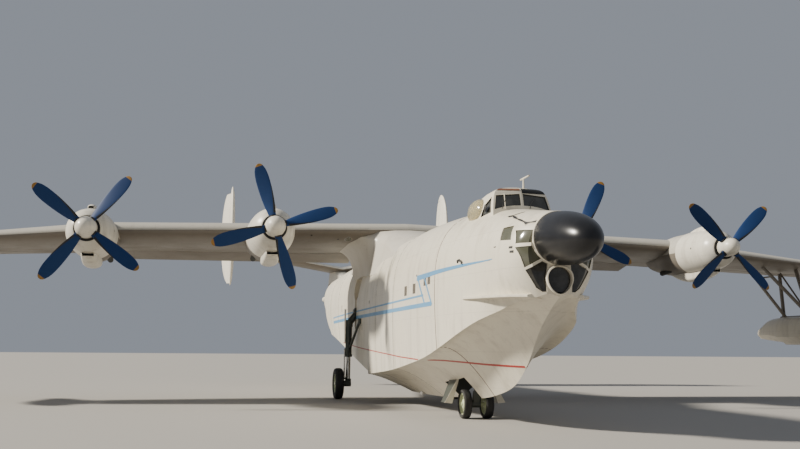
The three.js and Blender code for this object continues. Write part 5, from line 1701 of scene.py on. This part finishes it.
def fin_chord(z):
    middle = (FIN_TOP + FIN_BOTTOM) / 2
    reach = min(abs(z - middle) / ((FIN_TOP - FIN_BOTTOM) / 2), 1)
    return FIN_CHORD * math.sqrt(max(1 - reach**FIN_SQUARENESS, FIN_LEAST))


def fin_skin(z, t, side):
    half = thickness_at(t, FIN_THICKNESS) * fin_chord(z) + TRAILING_HALF
    if t == 0:
        half = 0.0
    return side * half, (t - FIN_HINGE_SHARE) * fin_chord(z)


def fin_ring(z, part):
    """A level section of the fin: the whole, the part ahead of the hinge, or the rudder."""
    def skin(t, side):
        return fin_skin(z, t, side)

    half = skin(FIN_HINGE_SHARE, 1)[0]
    chord = fin_chord(z)
    if part == "whole":
        pairs = round_section(skin, smooth_spread(1, 0, 16))
    elif part == "fixed":
        ahead = FIN_AHEAD * half + RUN_GAP
        pairs = round_section(skin, cut_steps(FIN_HINGE_SHARE - ahead / chord, 16))
        radius, angles = hollow_back(half, ahead)
        pairs += [(radius * math.sin(a), radius * math.cos(a)) for a in angles]
    else:
        ts = spread(1, FIN_HINGE_SHARE + NOSE_REACH * half / chord, 10)
        pairs = [skin(t, 1) for t in ts]
        radius, angles = round_nose(half)
        pairs += [(radius * math.sin(a), radius * math.cos(a)) for a in angles]
        pairs += [skin(t, -1) for t in reversed(ts)]
    return [Vector((FIN_X + x, FIN_HINGE_Y + y, z)) for x, y in pairs]


def build_fins():
    low, high = RUDDER_Z[0] - END_GAP, RUDDER_Z[1] + END_GAP
    foot = [FIN_BOTTOM + (low - FIN_BOTTOM) * (i / 8) ** 2 for i in range(9)]
    crown = [FIN_TOP - (FIN_TOP - high) * (1 - i / 8) ** 2 for i in range(9)]
    forms = [
        loft([fin_ring(z, "whole") for z in foot]),
        loft([fin_ring(z, "fixed") for z in spread(low, high, 24)]),
        loft([fin_ring(z, "whole") for z in crown]),
    ]
    add_pair("tail_fin", gather(forms), TAIL, replaces="fin")
    rudder = loft([fin_ring(z, "rudder") for z in spread(*RUDDER_Z, 24)])
    add_piece("tail_rudder_left", rudder, TAIL, "rudder_left", ("rudder_left",))
    point = Vector((-FIN_X, FIN_HINGE_Y, 0))
    swung = turned(mirrored(rudder), point, Vector((0, 0, 1)), STARBOARD_RUDDER_REST)
    add_piece("tail_rudder_right", swung, TAIL, "rudder_right", ("rudder_right",))


def pylon_ring(y, low, high, half):
    return [(x, y, z) for x, z in arch(half, low, high, PYLON_CROWN, 10, PYLON_FOOT)]


def water_rudder_forms():
    rings = []
    for z, length, width in WATER_RUDDER:
        ring = []
        for c, s in circle(16):
            y = WATER_RUDDER_Y + 0.02 + length * (0.5 + 0.5 * s) * 0.98
            ring.append((WATER_RUDDER_HALF * c * width, y, z))
        rings.append(ring)
    ends = [(0, WATER_RUDDER_Y, z) for z in (WATER_RUDDER[0][0], WATER_RUDDER_TOP)]
    return [loft(rings), tube(ends, WATER_RUDDER_HALF, 20)]


def build_tail():
    inner = panel_forms(tailplane_at, TAILPLANE_X, ELEVATOR_X, TAIL_HINGE_SHARE, ELEVATOR_TRAVEL)
    ends = spread(ELEVATOR_X[1] + END_GAP, FIN_X - 0.05, 3)
    outer = loft([fixed_ring(tailplane_at(x), TAIL_TIP_SHARE) for x in ends])
    halves = [*inner[:2], outer]
    pylon = lofted(PYLON, 0.15, pylon_ring)
    skin = gather(halves + [mirrored(form) for form in halves] + [pylon])
    # The tailplane and elevators take the dark painted shade below and the tail's paint above
    add_piece("tailplane_skin", skin, WING_SHADED, replaces=("tailplane",), top=TAIL)
    elevator = surface_form(tailplane_at, ELEVATOR_X, TAIL_HINGE_SHARE)
    add_pair("tail_elevator", elevator, WING_SHADED, "elevator", "elevator", top=TAIL)
    build_fins()
    boom = lathe(BOOM, (0, 0, BOOM_Z), sides=32)
    add_piece("detector_boom", boom, HULL, replaces=("tail_boom",))
    water_rudder = gather(water_rudder_forms())
    add_piece("water_rudder_blade", water_rudder, HULL, "water_rudder", ("water_rudder",))


# Landing gear

# Half of a tyre's section, as (share of the half width, share of the way from rim to tread)
TYRE_SECTION = [
    (0.62, 0.0), (0.78, 0.05), (0.93, 0.25), (1.0, 0.475), (0.96, 0.725), (0.82, 0.89), (0.60, 0.963),
    (0.42, 0.988), (0.40, 0.94), (0.34, 0.94), (0.32, 1.0), (0.06, 1.0), (0.04, 0.95),
]
# Half of a rim's section, as (share of the half width, share of the rim's radius)
RIM_SECTION = [
    (0.60, 1.025), (0.72, 1.0), (0.70, 0.92), (0.42, 0.83), (0.36, 0.50), (0.62, 0.40), (0.70, 0.30),
]
# Rims as a share of the wheel's radius, and the radii of their bores
MAIN_RIM, MAIN_BORE = 0.60, 0.0575
NOSE_RIM, NOSE_BORE = 0.72, 0.045
# Wheel bolts: place and length as shares of the wheel's width, circle and radius of its radius
BOLT_X, BOLT_LENGTH = 0.18, 0.09
BOLT_CIRCLE, BOLT_RADIUS = 0.40, 0.035
# Heights on the main leg, and the foot of the stay ahead of it
KNEE_Z = 2.66
STAY_X, STAY_AHEAD = 1.555, 1.15
# The brake hose as (x from the leg, y from it, z)
BRAKE_HOSE = [
    (-0.05, -0.12, 2.7), (-0.02, -0.135, 2.1), (0.02, -0.13, 1.5), (0.08, -0.12, 1.1),
    (0.1, -0.05, 0.66),
]
BRAKE_HOSE_RADIUS = 0.012
# The leg's fairing as (y from the leg, z), and its x range from the leg
LEG_FAIRING = [(-0.15, 3.15), (0.15, 3.15), (0.06, 1.95), (-0.06, 1.95)]
LEG_FAIRING_X = (0.118, 0.142)


def tyre_form(x, y, radius, width, rim):
    half = width / 2
    port = [(half * a, radius * lerp(rim, 1.0, share)) for a, share in TYRE_SECTION]
    starboard = [(-a, r) for a, r in reversed(port)]
    return closed_lathe(port + starboard, (x, y, radius), "x", 56)


def rim_form(x, y, radius, width, rim, bore):
    half = width / 2
    port = [(half * a, radius * rim * share) for a, share in RIM_SECTION]
    port.append((half * RIM_SECTION[-1][0], bore))
    starboard = [(-a, r) for a, r in reversed(port)]
    return closed_lathe(port + starboard, (x, y, radius), "x", 40)


def wheel_bolts(x, y, radius, width):
    forms = []
    for side in (-1, 1):
        for c, s in circle(8):
            out, up = radius * BOLT_CIRCLE * c, radius * BOLT_CIRCLE * s
            start = Vector((x + side * width * BOLT_X, y + out, radius + up))
            end = start + Vector((side * width * BOLT_LENGTH, 0, 0))
            forms.append(tube([start, end], radius * BOLT_RADIUS, 8))
    return gather(forms)


def bars(rows):
    """Bars as one form, from rows of (points, radius, sides)."""
    return gather([tube(points, radius, sides) for points, radius, sides in rows])


def build_main_gear():
    x, y, radius, width = MAIN_WHEEL_X, MAIN_WHEEL_Y, MAIN_WHEEL_RADIUS, MAIN_WHEEL_WIDTH
    leg = MAIN_LEG_X
    tyre = tyre_form(x, y, radius, width, MAIN_RIM)
    add_pair("main_tyre", tyre, TYRE, "main_wheel", "main_wheel")
    rim = rim_form(x, y, radius, width, MAIN_RIM, MAIN_BORE)
    rim_and_bolts = gather([rim, wheel_bolts(x, y, radius, width)])
    add_pair("main_rim", rim_and_bolts, RIM, "main_wheel")
    stay_y = y - STAY_AHEAD
    frame_bars = [
        # the leg from its collar to the knee, and the sleeve and stub of the axle
        ([(leg, y, 1.5), (leg, y, KNEE_Z)], 0.115, 28),
        ([(leg, y, 1.47), (leg, y, 1.56)], 0.135, 28),
        ([(leg, y, radius - 0.07), (leg, y, radius + 0.17)], 0.105, 28),
        ([(leg - 0.095, y, radius), (x - width * 0.35 - 0.0003, y, radius)], 0.105, 28),
        # the arm into the bay, the knee and the pivot
        ([(leg, y, KNEE_Z - 0.02), (1.48, y, 3.05)], [0.12, 0.10], 24),
        ([(leg, y, KNEE_Z - 0.13), (leg, y, KNEE_Z + 0.11)], 0.14, 28),
        ([(1.5, y - 0.155, 3.09), (1.5, y + 0.155, 3.09)], 0.12, 24),
        # the stay and its foot on the hull
        ([(leg - 0.02, y, 1.7), (1.58, stay_y, 2.7)], 0.045, 20),
        ([(STAY_X, stay_y, 2.61), (STAY_X, stay_y, 2.79)], 0.085, 20),
        # the lugs of the rod beside the leg, and the torque links behind it
        ([(leg, y, 0.72), (leg + 0.15, y, 0.72)], 0.034, 16),
        ([(leg, y, 1.73), (leg + 0.15, y, 1.73)], 0.034, 16),
        ([(leg, y + 0.10, 1.45), (leg, y + 0.34, 1.08), (leg, y + 0.10, 0.72)], 0.035, 12),
    ]
    add_pair("main_leg_frame", bars(frame_bars), GEAR, replaces="main_leg")
    steel_bars = [
        ([(leg, y, radius + 0.1), (leg, y, 1.52)], 0.078, 28),
        ([(leg + 0.14, y, 0.7), (leg + 0.14, y, 1.75)], 0.026, 16),
        ([(leg, y, radius), (x + width * 0.42, y, radius)], 0.056, 24),
    ]
    add_pair("main_leg_rods", bars(steel_bars), STEEL)
    outline = [(y + dy, z) for dy, z in LEG_FAIRING]
    fairing = prism("x", outline, leg + LEG_FAIRING_X[0], leg + LEG_FAIRING_X[1])
    add_pair("main_leg_fairing", fairing, HULL)
    hose = tube([(leg + dx, y + dy, z) for dx, dy, z in BRAKE_HOSE], BRAKE_HOSE_RADIUS, 8)
    add_pair("main_brake_hose", hose, BLACK)


def build_nose_gear():
    y, radius, width = NOSE_WHEEL_Y, NOSE_WHEEL_RADIUS, NOSE_WHEEL_WIDTH
    xs = (NOSE_WHEEL_X, -NOSE_WHEEL_X)
    tyres = gather([tyre_form(x, y, radius, width, NOSE_RIM) for x in xs])
    add_piece("nose_tyres", tyres, TYRE, "nose_wheels", ("nose_wheels",))
    rims = [rim_form(x, y, radius, width, NOSE_RIM, NOSE_BORE) for x in xs]
    rims += [wheel_bolts(x, y, radius, width) for x in xs]
    rims.append(tube([(-0.39, y, radius), (0.39, y, radius)], 0.0448, 20))
    add_piece("nose_rims", gather(rims), RIM, "nose_wheels")
    # the ends of the arm from the axle to the foot of the leg, as (half x, y, half y, z)
    ends = [(0.09, y, 0.08, radius), (0.08, STEER_Y, 0.075, 0.7)]
    corners = [(-1, -1), (1, -1), (1, 1), (-1, 1)]
    arm = []
    for half_x, middle, half_y, z in ends:
        arm.append([(half_x * a, middle + half_y * b, z) for a, b in corners])
    links = [(0, STEER_Y + 0.07, 1.05), (0, STEER_Y + 0.25, 0.82), (0, STEER_Y + 0.12, 0.60)]
    fork = [
        tube([(0, STEER_Y, 0.64), (0, STEER_Y, 1.1897)], 0.07, 24),
        tube([(-0.11, y, radius), (0.11, y, radius)], 0.095, 24),
        loft(arm),
        block((-0.06, 0.06), (STEER_Y - 0.19, STEER_Y), (0.70, 0.79)),
        tube(links, 0.028, 12),
    ]
    add_piece("nose_fork_frame", gather(fork), GEAR, "nose_steer", ("nose_fork",))
    build_nose_doors()


# A nose door's section as (x, z), its front edge, and its rear edge as (y, z there, slope)
DOOR_SECTION = [(0.405, 1.08), (0.466, 1.08), (0.495, 0.96), (0.81, 0.40), (0.61, 0.38)]
DOOR_FRONT = -11.6
DOOR_REAR = (-11.3, 0.3, 0.667)
DOOR_HINGE_YS = (-11.4, -11.0)


def build_nose_doors():
    front = [(x, DOOR_FRONT, z) for x, z in DOOR_SECTION]
    edge = [(x, DOOR_FRONT + 0.012, z) for x, z in DOOR_SECTION]
    rear_y, rear_z, slope = DOOR_REAR
    rear = [(x, rear_y + (z - rear_z) * slope, z) for x, z in DOOR_SECTION]
    add_pair("nose_gear_door", loft([edge, rear]), GEAR, replaces="nose_door")
    add_pair("nose_door_edge", loft([front, edge]), HULL)
    hinges = bars([([(0.44, y, 0.98), (0.44, y + 0.12, 0.98)], 0.03, 16) for y in DOOR_HINGE_YS])
    add_pair("nose_door_hinges", hinges, STEEL)


# Stabilising floats. Columns: share of the length, half width, keel z, chine z, top z
FLOAT_BOW, FLOAT_STERN = -4.5, 0.1
FLOAT_LINES = [
    (0.0, 0.04, 2.68, 2.74, 2.80), (0.08, 0.22, 2.38, 2.56, 2.95), (0.2, 0.35, 2.15, 2.42, 3.05),
    (0.4, 0.43, 2.04, 2.33, 3.10), (0.62, 0.43, 2.04, 2.33, 3.10),
]
FLOAT_TAIL = [
    (0.625, 0.425, 2.12, 2.36, 3.10), (0.82, 0.30, 2.20, 2.42, 3.0), (1.0, 0.13, 2.29, 2.42, 2.66),
]
# How high the widest part of a float's side lies, as a share of the way from its chine to its top
FLOAT_BULGE = 0.4
# The wing's underside over a float, and how far inboard the bracing meets it
FLOAT_WING_Z = 4.93
BRACE_IN = 1.32
CROSS_IN = 1.065


def float_ring(row):
    share, half, keel, chine, top = row
    y = lerp(FLOAT_BOW, FLOAT_STERN, share)
    side = [(0.0, keel), (half * 0.5, lerp(keel, chine, 0.55)), (half, chine)]
    for t in spread(0, 1, 3)[1:]:
        side.append((half * (1 + 0.02 * math.sin(math.pi * t)), lerp(chine, top, FLOAT_BULGE * t)))
    for a in spread(0, math.pi / 2, 9)[1:-1]:
        up = FLOAT_BULGE + (1 - FLOAT_BULGE) * math.sin(a)
        side.append((half * math.cos(a) ** 0.8, lerp(chine, top, up)))
    side.append((0.0, top))
    return [Vector((FLOAT_X + x, y, z)) for x, z in both_halves(side)]


def strut(a, b, length, thick):
    """A streamlined bar between two points, longer along y than it is thick."""
    rings = []
    for t in (0.0, 0.5, 1.0):
        middle = Vector(a).lerp(Vector(b), t)
        rings.append([middle + Vector((thick * c, length * s, 0)) for c, s in circle(16)])
    return loft(rings)


def build_floats():
    lines = (FLOAT_LINES, FLOAT_TAIL)
    rings = [float_ring(along(rows, share)) for rows in lines for share in stations(rows, 0.035)]
    add_pair("float_body", loft(rings), HULL, replaces="float")
    x, brace_x, cross_x = FLOAT_X, FLOAT_X - BRACE_IN, FLOAT_X - CROSS_IN
    members = [
        strut((x, -3.3, 2.9), (x, -2.45, FLOAT_WING_Z), 0.11, 0.045),
        strut((x, -1.6, 2.9), (x, -1.38, 4.82), 0.11, 0.045),
        tube([(x, -3.25, 3.08), (x, -1.45, 4.82)], 0.035, 12),
        strut((x, -3.2, 3.13), (brace_x, -2.37, FLOAT_WING_Z + 0.02), 0.13, 0.05),
        strut((x, -1.65, 3.13), (brace_x, -1.39, FLOAT_WING_Z), 0.11, 0.05),
        tube([(x, -3.4, 3.08), (x, -1.4, 3.08)], 0.06, 16),
        tube([(cross_x, -2.525, 4.6), (cross_x, -1.437, 4.6)], 0.03, 12),
    ]
    # The struts take the wing's dark grey-brown, which is painted shade
    add_pair("float_frame", gather(members), WING_SHADED, replaces="float_struts")


# The turret: its base as (z, radius), and its dome
TURRET_BASE = [(4.9403, 0.515), (5.24, 0.52), (5.27, 0.50)]
DOME_Z = DECK_Z + 0.06
DOME_RADII = (0.47, 0.56, 0.42)
# What is cut from the dome as x, y and z ranges, y from the turret's middle
DOME_BELOW = [(-0.7, 0.7), (-0.9, 0.9), (4.0, DECK_Z + 0.05)]
DOME_SLOT = [(-0.26, 0.26), (0.18, 0.9), (DECK_Z + 0.12, DECK_Z + 0.7)]
# A gun barrel as (aft of the turret's middle, radius), and the cradle between the barrels
GUN_BARREL = [(0.24, 0.034), (0.8, 0.034), (0.82, 0.022), (1.42, 0.019), (1.44, 0.026), (1.5, 0.026)]
GUN_X = 0.11
GUN_Z = DECK_Z + 0.25
CRADLE_HALF, CRADLE_AFT, CRADLE_RADIUS = 0.2597, 0.27, 0.08


def build_turret():
    base = lathe(TURRET_BASE, (0, TURRET_Y, 0), "z", 64)
    dome = make_object("turret_dome", ball((0, TURRET_Y, DOME_Z), DOME_RADII, 48), HULL)
    tools = []
    for xs, ys, zs in (DOME_BELOW, DOME_SLOT):
        tools.append(cutter(block(xs, [TURRET_Y + y for y in ys], zs), DARK_SHADE))
    carve(dome, tools, ROUND_SHARP)
    dress(dome, "turret", ("turret",))
    add_piece("turret_base", base, HULL, "turret")
    ends = [(x, TURRET_Y + CRADLE_AFT, GUN_Z) for x in (-CRADLE_HALF, CRADLE_HALF)]
    guns = [tube(ends, CRADLE_RADIUS, 24)]
    for side in (-1, 1):
        points = [(side * GUN_X, TURRET_Y + aft, GUN_Z) for aft, _ in GUN_BARREL]
        guns.append(tube(points, [row[1] for row in GUN_BARREL], 20))
    add_piece("gun_barrels", gather(guns), GEAR, "turret_guns", ("turret_guns",))


def build_mast():
    x, y, top = 0.19, -15.0, 5.67
    mast = bars([
        ([(x, y, 5.38), (x, y, 5.43), (x, y, top)], [0.032, 0.024, 0.018], 16),
        ([(x, y - 0.40, top), (x, y + 0.19, top)], 0.020, 12),
    ])
    add_piece("t_antenna", mast, HULL, replaces=("antenna_mast",))


# Pieces of the frame that keep their own shape, with their paint
NODE_LOOKS = {
    "pilot_seats": CABIN,
    "instrument_panel": BLACK,
    "nose_leg": GEAR,
    "engine_1": GEAR, "engine_2": GEAR, "engine_3": GEAR, "engine_4": GEAR,
}


def dress_nodes():
    for name, material in NODE_LOOKS.items():
        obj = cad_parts[name]
        for own in obj.material_slots:
            own.material = material


# The photograph's view, the floor and the light


def build_camera():
    yaw, pitch, roll = CAMERA_YAW, CAMERA_PITCH, CAMERA_ROLL
    ahead = Vector((math.sin(yaw) * math.cos(pitch), math.cos(yaw) * math.cos(pitch), math.sin(pitch)))
    right = Vector((math.cos(yaw), -math.sin(yaw), 0))
    up = right.cross(ahead)
    level, upright = right, up
    right = level * math.cos(roll) + upright * math.sin(roll)
    up = upright * math.cos(roll) - level * math.sin(roll)
    data = bpy.data.cameras.new("camera")
    data.lens = CAMERA_LENS
    data.sensor_width = SENSOR_WIDTH
    data.clip_end = 500
    camera = bpy.data.objects.new("camera", data)
    matrix = Matrix((right, up, -ahead)).transposed().to_4x4()
    matrix.translation = CAMERA_PLACE
    camera.matrix_world = matrix
    bpy.context.scene.collection.objects.link(camera)
    bpy.context.scene.camera = camera


FLOOR_SIZE = 300
FLOOR_COLOR = (0.38, 0.36, 0.33)
FLOOR_ROUGHNESS = 0.9
SKY_COLOR = (0.80, 0.87, 1.0, 1)
SKY_STRENGTH = 0.33
SUN_COLOR = (1.0, 0.94, 0.83)
SUN_ENERGY = 7.4
SUN_ANGLE = math.radians(5)
SUN_FROM = Vector((0.80, -0.15, -0.52))


def build_stage():
    corners = [(-1, -1), (1, -1), (1, 1), (-1, 1)]
    verts = [Vector((FLOOR_SIZE * x, FLOOR_SIZE * y, 0)) for x, y in corners]
    floor_material = plain("floor", FLOOR_COLOR, FLOOR_ROUGHNESS)[0]
    floor = make_object("floor", (verts, [(0, 1, 2, 3)]), floor_material)
    world = bpy.data.worlds.new("sky")
    world.use_nodes = True
    sky = world.node_tree.nodes["Background"]
    sky.inputs["Color"].default_value = SKY_COLOR
    sky.inputs["Strength"].default_value = SKY_STRENGTH
    bpy.context.scene.world = world
    lamp = bpy.data.lights.new("key", "SUN")
    lamp.energy = SUN_ENERGY
    lamp.angle = SUN_ANGLE
    lamp.color = SUN_COLOR
    key = bpy.data.objects.new("key", lamp)
    key.rotation_euler = SUN_FROM.normalized().to_track_quat("-Z", "Y").to_euler()
    bpy.context.scene.collection.objects.link(key)


build_camera()
build_stage()
build_hull()
build_strakes()
build_hull_marks()
build_nose_glass()
build_radome()
build_canopy()
build_wing()
build_engines()
build_tail()
build_main_gear()
build_nose_gear()
build_floats()
build_turret()
build_mast()
dress_nodes()
